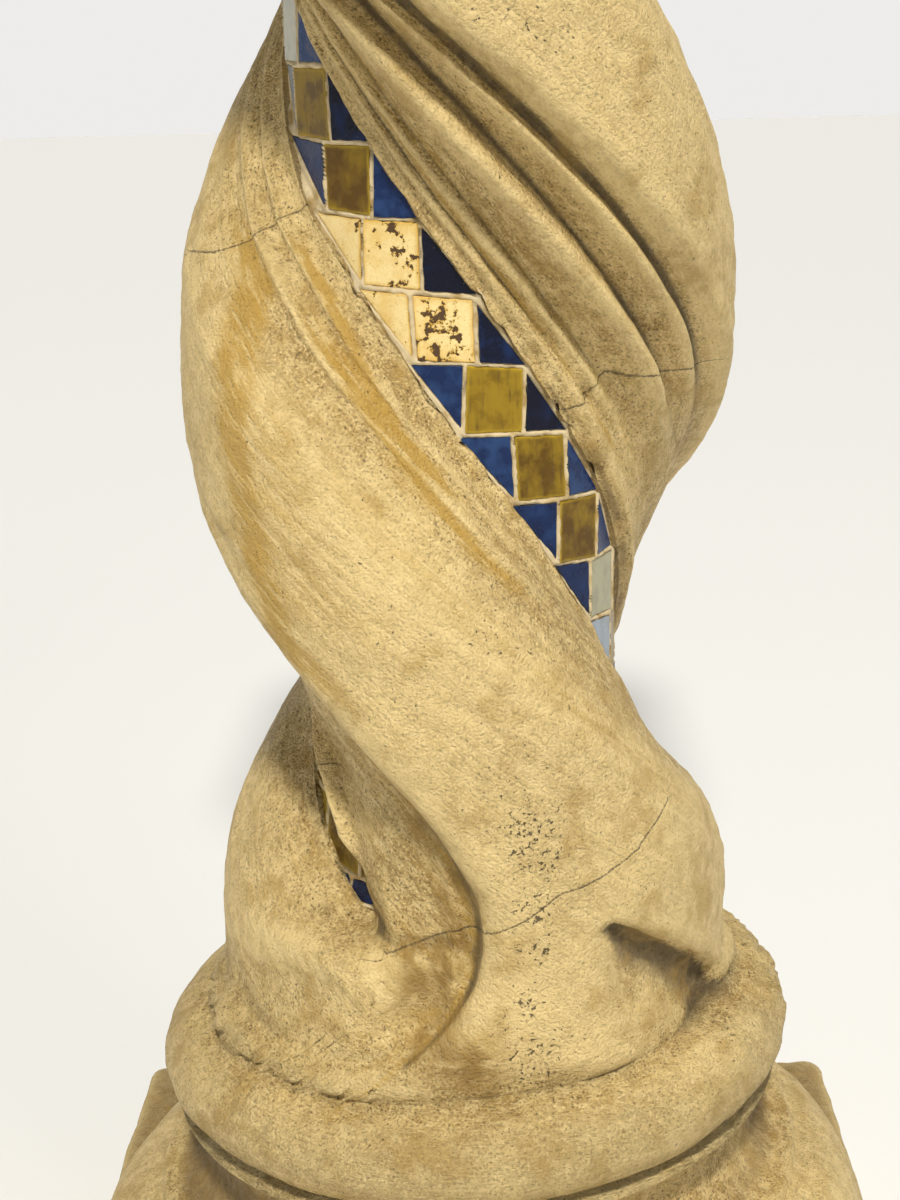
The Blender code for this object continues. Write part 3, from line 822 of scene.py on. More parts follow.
def grid_faces(rows, size):
    """Quads of a grid that closes on itself sideways, facing outwards."""
    row, column = np.meshgrid(np.arange(rows - 1), np.arange(size), indexing="ij")
    a = (row * size + column).ravel()
    b = (row * size + (column + 1) % size).ravel()
    return np.stack([a, a + size, b + size, b], axis=1).tolist()


def make_stone(material):
    """The whole column's stone as one closed mesh, with the values that its material reads."""
    grid = stone_grid()
    normals = grid_normals(grid)
    flow = flow_points(grid)
    clean = grid - normals * carve_lines(grid)[..., None]
    grid = grid + normals * weathering(grid, flow)[..., None]
    rows = len(grid)
    last = (rows - 1) * RING
    faces = grid_faces(rows, RING)
    faces += [list(range(RING)), [last + index for index in reversed(range(RING))]]
    piece = link_mesh("column_stone", grid.reshape(-1, 3).tolist(), faces, material)
    fine, broad = hollows(grid, clean, normals)
    torn = smooth(-0.5, 0.3, noise_field(grid, 0.006, 4, 18.0))
    rust = spots(grid, BLOTS) * mix(0.35, 1.0, torn)
    add_values(piece, "flow", flow, "FLOAT_VECTOR", "vector")
    for name, values in (("fine_hollow", fine), ("broad_hollow", broad), ("rust", rust),
                         ("ochre", np.maximum(stone_stain(grid), 0.7 * rust)),
                         ("crack", crack_distance(grid)), ("pitted", spots(grid, PITTED))):
        add_values(piece, name, values)
    return piece


def settle(piece, slot, *nodes):
    """Ties a piece to the body and hides the solids that it stands for; slot is not used."""
    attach(piece, "root")
    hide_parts(*nodes)
    return piece


# Mosaic

BAND_SPAN = BAND_WIDTH / BAND_RADIUS


def waver(across, height):
    """How far a joint strays from its ruled place, sideways and up, in metres."""
    return waves(ASIDE_WAVES, across, height), waves(UP_WAVES, across, height)


def sides(corners):
    """Each corner of an outline with the next."""
    return zip(corners, corners[1:] + corners[:1])


def polygon_gap(corners, across, height):
    """How far points lie outside a convex outline, negative inside."""
    gap = np.full(np.shape(across), -1.0)
    for (x0, z0), (x1, z1) in sides(corners):
        outside = (across - x0) * (z1 - z0) - (height - z0) * (x1 - x0)
        gap = np.maximum(gap, outside / np.hypot(x1 - x0, z1 - z0))
    return gap


def cut_flat(corners, level, side):
    """What is left of a convex outline above a level (side 1) or below it (side -1)."""
    kept = []
    for (x0, z0), (x1, z1) in sides(corners):
        inside0, inside1 = (z0 - level) * side > 0, (z1 - level) * side > 0
        if inside0:
            kept.append((x0, z0))
        if inside0 != inside1:
            kept.append((mix(x0, x1, (level - z0) / (z1 - z0)), level))
    return kept


def shrink(corners, distance):
    """A convex outline with every side moved inwards."""
    lines = []
    for (x0, z0), (x1, z1) in sides(corners):
        length = np.hypot(x1 - x0, z1 - z0)
        normal = (-(z1 - z0) / length, (x1 - x0) / length)
        lines.append((normal, normal[0] * x0 + normal[1] * z0 + distance))
    points = []
    for (n0, c0), (n1, c1) in zip([lines[-1]] + lines[:-1], lines):
        cross = n0[0] * n1[1] - n0[1] * n1[0]
        points.append(((c0 * n1[1] - c1 * n0[1]) / cross, (c1 * n0[0] - c0 * n1[0]) / cross))
    return points


class Tile:
    """One hand-cut piece of glass: its outline, unrolled, and the plane of its face."""

    def __init__(self, kind, corners, start, end, chance, tone):
        self.kind, self.tone = kind, tone
        self.start, self.end = start, end
        self.tilt = (chance.uniform(-TILE_TILT, TILE_TILT), chance.uniform(-TILE_TILT, TILE_TILT))
        self.seed = chance.uniform(0.0, 1.0)
        placed = []
        for angle, height in corners:
            aside, up = waver(angle * BAND_RADIUS, height)
            placed.append((angle * BAND_RADIUS - aside, height - up))
        self.corners = shrink(placed, JOINT * chance.uniform(*JOINT_SPREAD))
        self.middle = np.mean(self.corners, axis=0)

    def plane(self, across, height):
        """Radius of the face's plane."""
        half, centre = (self.end - self.start) / 2, (self.end + self.start) / 2
        flat = BAND_RADIUS * np.cos(half) / np.cos(across / BAND_RADIUS - centre)
        tilt = self.tilt[0] * (across - self.middle[0]) + self.tilt[1] * (height - self.middle[1])
        return flat + tilt


def row_line(row, row_top, angle):
    """Height of the joint over a row, dropping a little towards the right."""
    top = row_top - ROW_PITCH * row
    return top - ROW_SLOPE * (angle - band_angle(top)) * BAND_RADIUS


def row_left(row, row_top):
    """Direction of the band's left edge at the top of a row."""
    return band_angle(row_top - ROW_PITCH * row) - BAND_SPAN / 2


def row_tiles(row, row_top, kinds, chance):
    """Left triangle, square and right triangle of one row."""
    left, next_left = row_left(row, row_top), row_left(row + 1, row_top)
    right, next_right = left + BAND_SPAN, next_left + BAND_SPAN

    def corner(line, angle):
        return (angle, row_line(line, row_top, angle))

    kept_low, kept_high = BAND_LOW + TIP_CLEAR, BAND_HIGH - TIP_CLEAR
    edge = left - (band_extra(row_top - ROW_PITCH * row) + TUCK) / BAND_RADIUS
    far = next_right + TUCK / BAND_RADIUS
    shapes = [
        ([corner(row, edge), corner(row + 1, next_left), corner(row, next_left)],
         edge, next_left),
        ([corner(row + 1, next_left), corner(row + 1, right), corner(row, right),
          corner(row, next_left)], next_left, right),
        ([corner(row, right), corner(row + 1, right), corner(row + 1, far)], right, far),
    ]
    tiles = []
    for (kind, tone), (corners, start, end) in zip(kinds, shapes):
        kept = cut_flat(cut_flat(corners, kept_low, 1), kept_high, -1)
        heights = [height for angle, height in kept]
        if kept and max(heights) - min(heights) > LEAST_TILE:
            tiles.append(Tile(kind, kept, start, end, chance, tone))
    return tiles


# Kinds and tones of the tiles that show, row by row: left triangle, square, right triangle
SHOWN_ROWS = {
    0: (("blue", 0.5), ("pale", 0.3), ("blue", 0.95)),
    1: (("pale", 0.9), ("gold", 0.45), ("blue", 0.15)),
    2: (("blue", 0.55), ("gold", 0.15), ("blue", 0.6)),
    3: (("flaked", 0.1), ("flaked", 0.55), ("blue", 0.0)),
    4: (("flaked", 0.2), ("flaked", 0.85), ("blue", 0.25)),
    5: (("blue", 0.6), ("gold", 0.6), ("blue", 0.0)),
    6: (("blue", 0.65), ("gold", 0.3), ("blue", 0.7)),
    7: (("blue", 0.45), ("gold", 0.2), ("blue", 0.75)),
    8: (("blue", 0.4), ("pale", 0.15), ("blue", 0.7)),
    9: (("pale", 0.8), ("gold", 0.5), ("blue", 0.5)),
}
SHOWN_BACK_ROWS = {
    8: (("pale", 0.2), ("pale", 0.3), ("gold", 0.4)),
    9: (("gold", 0.5), ("pale", 0.3), ("gold", 0.2)),
    10: (("gold", 0.2), ("gold", 0.45), ("gold", 0.3)),
    11: (("gold", 0.35), ("gold", 0.2), ("gold", 0.1)),
    12: (("gold", 0.5), ("gold", 0.35), ("gold", 0.3)),
    13: (("blue", 0.3), ("blue", 0.25), ("blue", 0.3)),
}


def band_tiles(strand, row_top):
    """All the tiles of one band."""
    chance = random.Random(40 + strand)
    first = int(np.floor((row_top - BAND_HIGH) / ROW_PITCH)) - 1
    last = int(np.ceil((row_top - BAND_LOW) / ROW_PITCH)) + 1
    tiles = []
    for row in range(first, last):
        plain = [("blue", chance.uniform(0.1, 0.8)), ("gold", chance.uniform(0.1, 0.7)),
                 ("blue", chance.uniform(0.1, 0.8))]
        if row % 9 == 4:
            plain[1] = ("flaked", chance.uniform(0.2, 0.9))
        kinds = (SHOWN_ROWS, SHOWN_BACK_ROWS)[strand].get(row, plain)
        tiles += row_tiles(row, row_top, kinds, chance)
    return tiles


def band_points(strand, across, height, radius):
    """Places on a band from unrolled ones: distance round, height and radius."""
    angle = across / BAND_RADIUS - pi * (strand + seam_phase(height))
    return turned(radius + face_radius(height) - BAND_RADIUS, angle, height)


def tile_outline(corners, steps=5):
    """Points round an outline, the sides a little uneven."""
    points = []
    for index, ((x0, z0), (x1, z1)) in enumerate(sides(corners)):
        length = np.hypot(x1 - x0, z1 - z0)
        for step in range(steps):
            share = step / steps
            x, z = mix(x0, x1, share), mix(z0, z1, share)
            bulge = SIDE_WAVER * np.sin(900 * x + 700 * z + 2 * index)
            points.append((x - (z1 - z0) / length * bulge, z + (x1 - x0) / length * bulge))
    return points


def tile_mesh(strand, tile):
    """Points, faces and rim shares of one bevelled tile."""
    outline = np.array(tile_outline(tile.corners))
    size = len(outline)
    points, rims = [], []
    for share, rise, rim in TILE_LEVELS:
        ring = tile.middle + (outline - tile.middle) * share
        radius = tile.plane(ring[:, 0], ring[:, 1]) + rise
        points += band_points(strand, ring[:, 0], ring[:, 1], radius).tolist()
        rims += [rim] * size
    top = tile.plane(tile.middle[0], tile.middle[1]) + TILE_CROWN
    points.append(band_points(strand, tile.middle[0], tile.middle[1], top).tolist())
    rims.append(1.0)
    faces = [list(range(size))[::-1]]
    for level in range(len(TILE_LEVELS) - 1):
        for index in range(size):
            a, b = level * size + index, level * size + (index + 1) % size
            faces.append([a, b, b + size, a + size])
    start = (len(TILE_LEVELS) - 1) * size
    for index in range(size):
        faces.append([start + index, start + (index + 1) % size, len(points) - 1])
    return points, faces, rims


def make_tiles(name, strand, tiles, material):
    """One piece of all the tiles of a kind in a band."""
    points, faces, rims, tones, seeds = [], [], [], [], []
    for tile in tiles:
        some, loops, rim = tile_mesh(strand, tile)
        faces += [[len(points) + index for index in loop] for loop in loops]
        points += some
        rims += rim
        tones += [tile.tone] * len(some)
        seeds += [tile.seed] * len(some)
    piece = link_mesh(name, points, faces, material)
    piece.data.set_sharp_from_angle(angle=0.6)
    for label, values in (("rim", rims), ("tone", tones), ("seed", seeds)):
        add_values(piece, label, values)
    return piece


def make_mortar(name, strand, tiles, material):
    """The bed that the tiles lie in: it rises between them and laps over their edges."""
    height = np.arange(BAND_LOW, BAND_HIGH, MORTAR_STEP)[:, None]
    half = band_half(height) * pi * BAND_RADIUS + MORTAR_MARGIN
    share = np.linspace(-1.0, 1.0, MORTAR_COLUMNS)
    across = band_angle(height) * BAND_RADIUS + half * share
    across = across + band_extra(height) * np.minimum(0.0, share)
    level = np.broadcast_to(height, across.shape)
    gap = np.full(across.shape, FAR_FROM_TILES)
    radius = np.full(across.shape, BAND_RADIUS)
    for tile in tiles:
        low = min(z for x, z in tile.corners) - TILE_REACH
        high = max(z for x, z in tile.corners) + TILE_REACH
        rows = slice(*np.searchsorted(height[:, 0], (low, high)))
        outside = polygon_gap(tile.corners, across[rows], level[rows])
        nearer = outside < gap[rows]
        gap[rows] = np.where(nearer, outside, gap[rows])
        radius[rows] = np.where(nearer, tile.plane(across[rows], level[rows]), radius[rows])
    spread = np.stack([across, level, np.full(across.shape, float(strand))], axis=2)
    laid = smooth(-0.0004, 0.0004, gap + noise_layers(spread, MORTAR_EDGE))
    surface = mix(MORTAR_UNDER, MORTAR_OVER, laid) + noise_layers(spread, MORTAR_GRAIN) * laid
    radius = grid_soften(radius) + surface
    points = band_points(strand, across, level, radius)
    rows, columns = across.shape
    floor = np.full(across.shape, BAND_RADIUS - BAND_DEPTH - FLOOR_LAP)
    back = band_points(strand, across, level, floor)
    faces = sheet_faces(rows, columns)
    piece = link_mesh(name, *thicken(points, back, rows, columns, faces), material)
    add_values(piece, "laid", np.concatenate([gap.ravel(), gap.ravel()]))
    return piece


def grid_soften(values):
    """A light blur down the rows of a grid, so that steps between planes are eased."""
    padded = np.pad(values, ((1, 1), (0, 0)), mode="edge")
    return (padded[:-2] + 2 * padded[1:-1] + padded[2:]) / 4


def sheet_faces(rows, columns):
    row, column = np.meshgrid(np.arange(rows - 1), np.arange(columns - 1), indexing="ij")
    a = (row * columns + column).ravel()
    return np.stack([a, a + 1, a + columns + 1, a + columns], axis=1).tolist()


def thicken(front, back, rows, columns, faces):
    """Closes a sheet into a solid with a back and four sides."""
    count = rows * columns
    points = front.reshape(-1, 3).tolist() + back.reshape(-1, 3).tolist()
    closed = list(faces)
    closed += [[index + count for index in reversed(face)] for face in faces]
    bottom = list(range(columns))
    right = [row * columns + columns - 1 for row in range(rows)]
    top = [(rows - 1) * columns + column for column in reversed(range(columns))]
    left = [row * columns for row in reversed(range(rows))]
    for side in (bottom, right, top, left):
        closed += [[b, a, a + count, b + count] for a, b in zip(side, side[1:])]
    return points, closed


# Materials

class Shade:
    """Short names for the nodes that a material is made of."""

    def __init__(self, name):
        self.material = bpy.data.materials.new(name)
        self.material.use_nodes = True
        self.nodes = self.material.node_tree.nodes
        self.links = self.material.node_tree.links
        self.shader = self.nodes["Principled BSDF"]

    def put(self, socket, value):
        """Sets a socket, or links it when the value is another node's output."""
        if isinstance(value, bpy.types.NodeSocket):
            self.links.new(value, socket)
        elif socket.type == "RGBA":
            socket.default_value = (*value, 1.0)
        else:
            socket.default_value = value

    def node(self, kind, inputs):
        node = self.nodes.new("ShaderNode" + kind)
        for name, value in inputs.items():
            self.put(node.inputs[name], value)
        return node

    def attribute(self, name, output="Fac"):
        node = self.nodes.new("ShaderNodeAttribute")
        node.attribute_name = name
        return node.outputs[output]

    def place(self):
        return self.nodes.new("ShaderNodeTexCoord").outputs["Object"]

    def noise(self, vector, scale, detail=3.0, roughness=0.55):
        return self.node("TexNoise", {"Vector": vector, "Scale": scale, "Detail": detail,
                                      "Roughness": roughness}).outputs["Fac"]

    def edges(self, vector, scale):
        """Distance to the nearest border between cells."""
        node = self.node("TexVoronoi", {"Vector": vector, "Scale": scale})
        node.feature = "DISTANCE_TO_EDGE"
        return node.outputs["Distance"]

    def warp(self, vector):
        """A colour that varies softly, to bend other textures with."""
        return self.node("TexNoise", {"Vector": vector, "Scale": 300.0}).outputs["Color"]

    def math(self, operation, a, b=0.0):
        node = self.nodes.new("ShaderNodeMath")
        node.operation = operation
        self.put(node.inputs[0], a)
        self.put(node.inputs[1], b)
        return node.outputs[0]

    def rise(self, value, low, high, start=0.0, end=1.0):
        """start below low, end above high, an easy curve between."""
        node = self.node("MapRange", {"Value": value, "From Min": low, "From Max": high,
                                      "To Min": start, "To Max": end})
        node.interpolation_type = "SMOOTHSTEP"
        return node.outputs["Result"]

    def blend(self, share, a, b):
        node = self.nodes.new("ShaderNodeMix")
        node.data_type = "RGBA"
        self.put(node.inputs["Factor"], share)
        colours = [socket for socket in node.inputs if socket.type == "RGBA"]
        for socket, colour in zip(colours, (a, b)):
            self.put(socket, colour)
        return next(socket for socket in node.outputs if socket.type == "RGBA")

    def veils(self, colour, layers):
        """Lays colours over one another, each where its mask rises from low to high."""
        for over, mask, low, high, strength in layers:
            colour = self.blend(self.rise(mask, low, high, 0.0, strength), colour, over)
        return colour

    def bumps(self, layers):
        """Small relief from several heights, each with its distance and strength."""
        normal = None
        for height, distance, strength in layers:
            inputs = {"Strength": strength, "Distance": distance, "Height": height}
            if normal is not None:
                inputs["Normal"] = normal
            normal = self.node("Bump", inputs).outputs["Normal"]
        return normal

    def finish(self, colour, roughness, normal, gloss=0.5):
        for name, value in (("Specular IOR Level", gloss), ("Base Color", colour),
                            ("Roughness", roughness), ("Normal", normal)):
            self.put(self.shader.inputs[name], value)
        return self.material


# Colours of the stone, its dirt and painted shade, and the mortar
PALE = (0.84, 0.645, 0.30)
CREAM = (0.60, 0.43, 0.165)
BUFF = (0.36, 0.235, 0.075)
OCHRE = (0.47, 0.28, 0.042)
RUST = (0.22, 0.123, 0.022)
BROWN = (0.20, 0.125, 0.04)
UMBER = (0.07, 0.045, 0.016)
MORTAR = (0.62, 0.50, 0.30)

# Colours of the glass
BLUES = [(0.003, 0.004, 0.015), (0.007, 0.020, 0.078), (0.019, 0.050, 0.145), (0.11, 0.115, 0.16)]
BLUE_RIM = (0.10, 0.11, 0.10)
DARK_GOLD, BRIGHT_GOLD = (0.10, 0.050, 0.004), (0.29, 0.185, 0.012)
GOLD_STROKE, GOLD_RIM = (0.09, 0.05, 0.012), (0.55, 0.38, 0.03)
PALE_LEAF, DEEP_LEAF = (0.84, 0.66, 0.30), (0.74, 0.50, 0.15)
LEAF_RIM, LEAF_CRACK = (0.62, 0.36, 0.03), (0.30, 0.15, 0.02)
FLAKE_RIM, FLAKE = (0.62, 0.36, 0.02), (0.075, 0.035, 0.008)
GREEN_GREY, BLUE_GREY, GREY_CLOUD = (0.36, 0.34, 0.20), (0.30, 0.36, 0.44), (0.20, 0.19, 0.12)


def stone_dirt_and_shade(shade, colour, place, drawn):
    """Painted shade in the hollows and painted highlight with wear on the crests, dirt on the
    plinth and the bands' lips, smudges and stains.
    """
    fine, broad = shade.attribute("fine_hollow"), shade.attribute("broad_hollow")
    smudges = shade.noise(place, 48.0, 5.0, 0.65)
    broken = shade.rise(drawn, 0.36, 0.58, 0.35, 1.0)
    return shade.veils(colour, [
        # painted shade: brown and umber where the surface lies below its surroundings, with the
        # dirt set into the same values
        (BROWN, broad, 0.0012, 0.0044, 0.75),
        (UMBER, fine, 0.00012, 0.0007, 0.85),
        # painted highlight, with some wear: pale where the surface stands out from its surroundings
        (PALE, shade.math("MULTIPLY", fine, -1.0), 0.0001, 0.0007, 0.5),
        (PALE, shade.math("MULTIPLY", broad, -1.0), 0.0006, 0.0040, 0.25),
        (BUFF, smudges, 0.50, 0.66, 0.35),
        (OCHRE, smudges, 0.52, 0.70, 0.3),
        (OCHRE, shade.math("MULTIPLY", shade.attribute("ochre"), broken), 0.0, 0.8, 0.8),
        (RUST, shade.attribute("rust"), 0.0, 1.0, 0.8),
    ])


def crack_line(shade, grain):
    """Strong on the cracks, a little wider and narrower along them."""
    away = shade.math("ABSOLUTE", shade.attribute("crack"))
    away = shade.math("ADD", away, shade.rise(grain, 0.3, 0.7, -0.0003, 0.0003))
    return shade.rise(away, 0.0001, 0.0005, 0.8, 0.0)


def small_pits(shade, place):
    """1 in small pits: many where the stone is marked as pitted, a few elsewhere."""
    holes = shade.noise(place, 560.0, 3.0, 0.6)
    pitted = shade.math("MULTIPLY", shade.attribute("pitted"), 0.17)
    stray = shade.rise(shade.noise(place, 30.0, 2.0), 0.45, 0.7, -0.04, 0.04)
    holes = shade.math("ADD", holes, shade.math("MAXIMUM", pitted, stray))
    return shade.rise(holes, 0.70, 0.73)


def stone_material():
    shade = Shade("carved_stone")
    place, flow = shade.place(), shade.attribute("flow", "Vector")
    patches = shade.noise(place, 20.0, 4.0, 0.6)
    mottle = shade.noise(place, 200.0, 4.0, 0.62)
    grain = shade.noise(place, 1000.0, 3.0, 0.6)
    drawn = shade.noise(flow, 300.0, 4.0, 0.62)
    fibres = shade.noise(flow, 1000.0, 2.0, 0.6)
    colour = shade.veils(CREAM, [
        (BUFF, patches, 0.35, 0.68, 1.0),
        (BUFF, mottle, 0.48, 0.66, 0.3),
        (PALE, shade.math("SUBTRACT", 1.0, mottle), 0.46, 0.64, 0.5),
        (OCHRE, drawn, 0.54, 0.70, 0.4),
        (PALE, shade.math("SUBTRACT", 1.0, drawn), 0.48, 0.64, 0.45),
        (BROWN, fibres, 0.55, 0.72, 0.5),
        (UMBER, grain, 0.56, 0.69, 0.9),
        (PALE, shade.math("SUBTRACT", 1.0, grain), 0.52, 0.66, 0.7),
    ])
    colour = stone_dirt_and_shade(shade, colour, place, drawn)
    colour = shade.blend(crack_line(shade, grain), colour, UMBER)
    pit = small_pits(shade, place)
    colour = shade.blend(shade.math("MULTIPLY", pit, 0.9), colour, UMBER)
    normal = shade.bumps([
        (drawn, 0.0010, 0.9),
        (mottle, 0.0016, 0.8),
        (grain, 0.0013, 1.0),
        (shade.math("SUBTRACT", 1.0, pit), 0.0008, 0.7),
    ])
    return shade.finish(colour, shade.rise(mottle, 0.3, 0.7, 0.5, 0.75), normal)


def mortar_material():
    shade = Shade("lime_mortar")
    place = shade.place()
    grain = shade.noise(place, 900.0, 4.0, 0.7)
    stain = shade.noise(place, 120.0, 4.0, 0.6)
    colour = shade.veils(MORTAR, [(BUFF, stain, 0.45, 0.7, 1.0)])
    # painted shade: the mortar darkens towards the tiles' edges and under them
    edge = shade.rise(shade.attribute("laid"), -0.0012, 0.0004, 1.0, 0.0)
    colour = shade.blend(shade.math("MULTIPLY", edge, 0.55), colour, UMBER)
    return shade.finish(colour, 0.85, shade.bumps([(grain, 0.0004, 0.6)]))


def tile_places(shade):
    """Texture places that differ from tile to tile."""
    shift = shade.nodes.new("ShaderNodeVectorMath")
    shift.operation = "ADD"
    shade.links.new(shade.place(), shift.inputs[0])
    shade.links.new(shade.math("MULTIPLY", shade.attribute("seed"), 9.0), shift.inputs[1])
    return shift.outputs[0]


def rimmed(shade, colour, rim, reach, strength):
    """A tile's colour with another along its sides."""
    return shade.blend(shade.rise(shade.attribute("rim"), 0.0, reach, strength, 0.0), colour, rim)


def blue_glass():
    shade = Shade("blue_glass")
    place = tile_places(shade)
    cloud = shade.noise(place, 130.0, 4.0, 0.6)
    specks = shade.noise(place, 1100.0, 2.0, 0.6)
    tone = shade.math("ADD", shade.attribute("tone"), shade.rise(cloud, 0.35, 0.7, -0.18, 0.22))
    colour = shade.veils(BLUES[0], [
        (BLUES[1], tone, 0.0, 0.45, 1.0),
        (BLUES[2], tone, 0.45, 0.85, 1.0),
        (BLUES[3], tone, 0.85, 1.15, 1.0),
        (MORTAR, specks, 0.72, 0.8, 0.5),
    ])
    colour = rimmed(shade, colour, BLUE_RIM, 0.12, 0.5)
    ripple = shade.noise(place, 90.0, 3.0, 0.5)
    return shade.finish(colour, shade.rise(cloud, 0.3, 0.7, 0.2, 0.45),
                        shade.bumps([(ripple, 0.0012, 0.35)]), 0.2)


def gold_glass():
    shade = Shade("gold_glass")
    place = tile_places(shade)
    cloud = shade.noise(place, 110.0, 4.0, 0.6)
    drawn = shade.node("Mapping", {"Vector": place, "Scale": (1.0, 1.0, 0.12)})
    strokes = shade.noise(drawn.outputs[0], 700.0, 3.0, 0.6)
    tone = shade.math("ADD", shade.attribute("tone"), shade.rise(cloud, 0.3, 0.7, -0.25, 0.3))
    colour = shade.veils(DARK_GOLD, [
        (BRIGHT_GOLD, tone, 0.0, 0.8, 1.0),
        (GOLD_STROKE, strokes, 0.5, 0.72, 0.6),
    ])
    colour = rimmed(shade, colour, GOLD_RIM, 0.25, 0.55)
    return shade.finish(colour, shade.rise(cloud, 0.3, 0.7, 0.2, 0.42),
                        shade.bumps([(strokes, 0.0003, 0.4)]), 0.2)


def flaked_glass():
    """Gold glass whose cover has come away in flakes."""
    shade = Shade("flaked_gold_glass")
    place = tile_places(shade)
    cloud = shade.noise(place, 90.0, 3.0, 0.6)
    flakes = shade.noise(place, 230.0, 5.0, 0.62)
    cluster = shade.rise(shade.noise(place, 75.0, 1.0), 0.40, 0.60, -0.06, 0.03)
    amount = shade.math("ADD", shade.math("MULTIPLY", shade.attribute("tone"), 0.13), cluster)
    flakes = shade.math("ADD", flakes, amount)
    colour = shade.veils(PALE_LEAF, [(DEEP_LEAF, cloud, 0.35, 0.7, 1.0)])
    colour = rimmed(shade, colour, LEAF_RIM, 0.3, 0.7)
    bent = shade.blend(0.03, place, shade.warp(place))
    cracks = shade.rise(shade.edges(bent, 150.0), 0.0, 0.02, 0.55, 0.0)
    colour = shade.blend(cracks, colour, LEAF_CRACK)
    colour = shade.veils(colour, [
        (FLAKE_RIM, flakes, 0.635, 0.65, 1.0),
        (FLAKE, flakes, 0.655, 0.665, 1.0),
    ])
    relief = shade.rise(flakes, 0.63, 0.66, 1.0, 0.0)
    return shade.finish(colour, shade.rise(flakes, 0.63, 0.66, 0.35, 0.6),
                        shade.bumps([(relief, 0.0003, 0.6)]))


def pale_glass():
    shade = Shade("pale_glass")
    cloud = shade.noise(tile_places(shade), 150.0, 4.0, 0.6)
    colour = shade.veils(GREEN_GREY, [
        (BLUE_GREY, shade.attribute("tone"), 0.3, 0.8, 1.0),
        (GREY_CLOUD, cloud, 0.4, 0.7, 0.5),
    ])
    return shade.finish(colour, 0.25, shade.bumps([(cloud, 0.0006, 0.4)]))


GLASSES = {"blue": (blue_glass, "blue_glass"), "gold": (gold_glass, "gold_glass"),
           "flaked": (flaked_glass, "gold_glass"), "pale": (pale_glass, "pale_glass")}


def make_mosaics():
    """Mortar and tiles of both bands, the tiles of one kind of glass as one piece."""
    mortar = mortar_material()
    glasses = {kind: make() for kind, (make, slot) in GLASSES.items()}
    for strand, side, row_top in ((0, "front", ROW_TOP), (1, "back", BACK_ROW_TOP)):
        node = "mosaic_band_" + side
        tiles = band_tiles(strand, row_top)
        settle(make_mortar("mortar_" + side, strand, tiles, mortar), "mortar", node)
        for kind, (make, slot) in GLASSES.items():
            chosen = [tile for tile in tiles if tile.kind == kind]
            if chosen:
                name = f"{kind}_tiles_{side}"
                settle(make_tiles(name, strand, chosen, glasses[kind]), slot, node)


# Camera, floor and light

CAMERA_PLACE = (0.0181, -0.6463, 0.5480)
CAMERA_YAW = -0.036
CAMERA_PITCH = 0.28
CAMERA_ROLL = -0.028
CAMERA_LENS = 52.9              # mm, on a sensor 36 mm wide
LAMP_COLOUR = (1.0, 0.97, 0.90)
KEY_TOWARDS, KEY_POWER = (0.02, -0.60, 0.85), 3.2
SIDE_PLACE, SIDE_TARGET, SIDE_POWER = (0.7, -0.9, 2.0), (0.0, 0.0, 0.45), 7.0
FLOOR_SIDE = 60.0


def make_camera():
    """The camera where the photograph was taken, a little above the part that shows."""
    data = bpy.data.cameras.new("camera")
    data.lens, data.sensor_width = CAMERA_LENS, 36.0
    camera = bpy.data.objects.new("camera", data)
    forward = Vector((np.sin(CAMERA_YAW) * np.cos(CAMERA_PITCH),
                      np.cos(CAMERA_YAW) * np.cos(CAMERA_PITCH), -np.sin(CAMERA_PITCH)))
    level = Vector((np.cos(CAMERA_YAW), -np.sin(CAMERA_YAW), 0.0))
    upright = level.cross(forward)
    right = np.cos(CAMERA_ROLL) * level + np.sin(CAMERA_ROLL) * upright
    up = np.cos(CAMERA_ROLL) * upright - np.sin(CAMERA_ROLL) * level
    turn = Matrix((right, up, -forward)).transposed().to_4x4()
    camera.matrix_world = Matrix.Translation(CAMERA_PLACE) @ turn
    bpy.context.scene.collection.objects.link(camera)
    bpy.context.scene.camera = camera


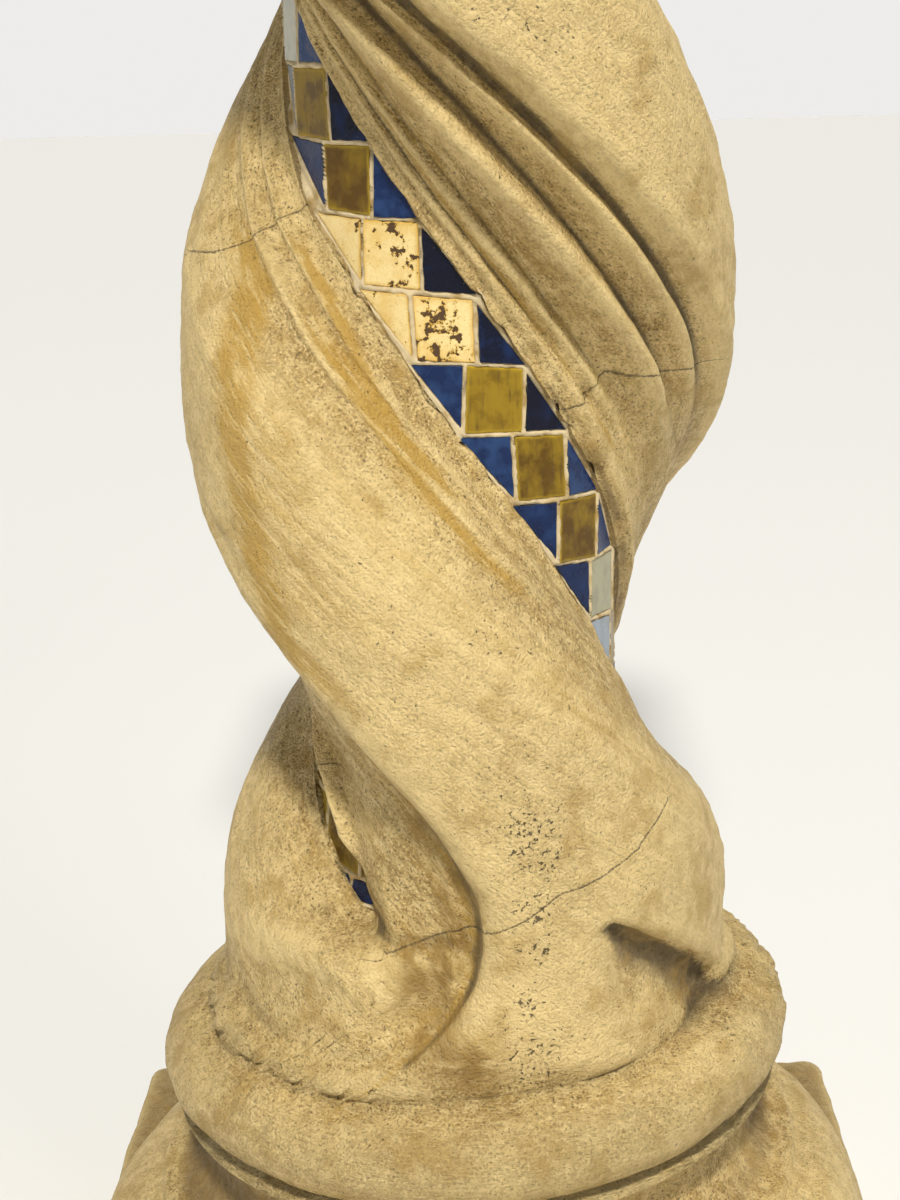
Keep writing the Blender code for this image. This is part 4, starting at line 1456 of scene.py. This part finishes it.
def make_light(name, kind, towards, power, settings):
    """A warm lamp that shines from a direction, with the settings of its kind."""
    data = bpy.data.lights.new(name, kind)
    data.energy, data.color = power, LAMP_COLOUR
    for setting, value in settings.items():
        setattr(data, setting, value)
    light = bpy.data.objects.new(name, data)
    light.rotation_mode = "QUATERNION"
    light.rotation_quaternion = Vector(towards).to_track_quat("Z", "Y")
    bpy.context.scene.collection.objects.link(light)
    return light


def light_sky(tree):
    """A studio that is brightest near its walls and darker overhead."""
    place = tree.nodes.new("ShaderNodeTexCoord")
    parts = tree.nodes.new("ShaderNodeSeparateXYZ")
    tree.links.new(place.outputs["Generated"], parts.inputs[0])
    fade = tree.nodes.new("ShaderNodeMapRange")
    fade.interpolation_type = "SMOOTHSTEP"
    for name, number in (("From Min", 0.05), ("From Max", 0.4), ("To Min", 0.85), ("To Max", 0.15)):
        fade.inputs[name].default_value = number
    tree.links.new(parts.outputs["Z"], fade.inputs["Value"])
    tree.links.new(fade.outputs["Result"], tree.nodes["Background"].inputs["Strength"])
    tree.nodes["Background"].inputs["Color"].default_value = (1.0, 0.99, 0.97, 1.0)


def make_stage():
    shade = Shade("studio_floor")
    shade.put(shade.shader.inputs["Base Color"], (0.86, 0.86, 0.85))
    shade.put(shade.shader.inputs["Roughness"], 0.9)
    half = FLOOR_SIDE / 2
    corners = [(-half, -half, 0), (half, -half, 0), (half, half, 0), (-half, half, 0)]
    floor = link_mesh("floor", corners, [(0, 1, 2, 3)], shade.material)
    world = bpy.data.worlds.new("studio")
    world.use_nodes = True
    light_sky(world.node_tree)
    bpy.context.scene.world = world
    bpy.context.scene.view_settings.view_transform = "Standard"
    make_light("key", "SUN", KEY_TOWARDS, KEY_POWER, {"angle": 0.10})
    towards = Vector(SIDE_PLACE) - Vector(SIDE_TARGET)
    make_light("side", "AREA", towards, SIDE_POWER, {"size": 0.5}).location = SIDE_PLACE


def main():
    make_camera()
    make_stage()
    settle(make_stone(stone_material()), "stone", "column")
    make_mosaics()


main()
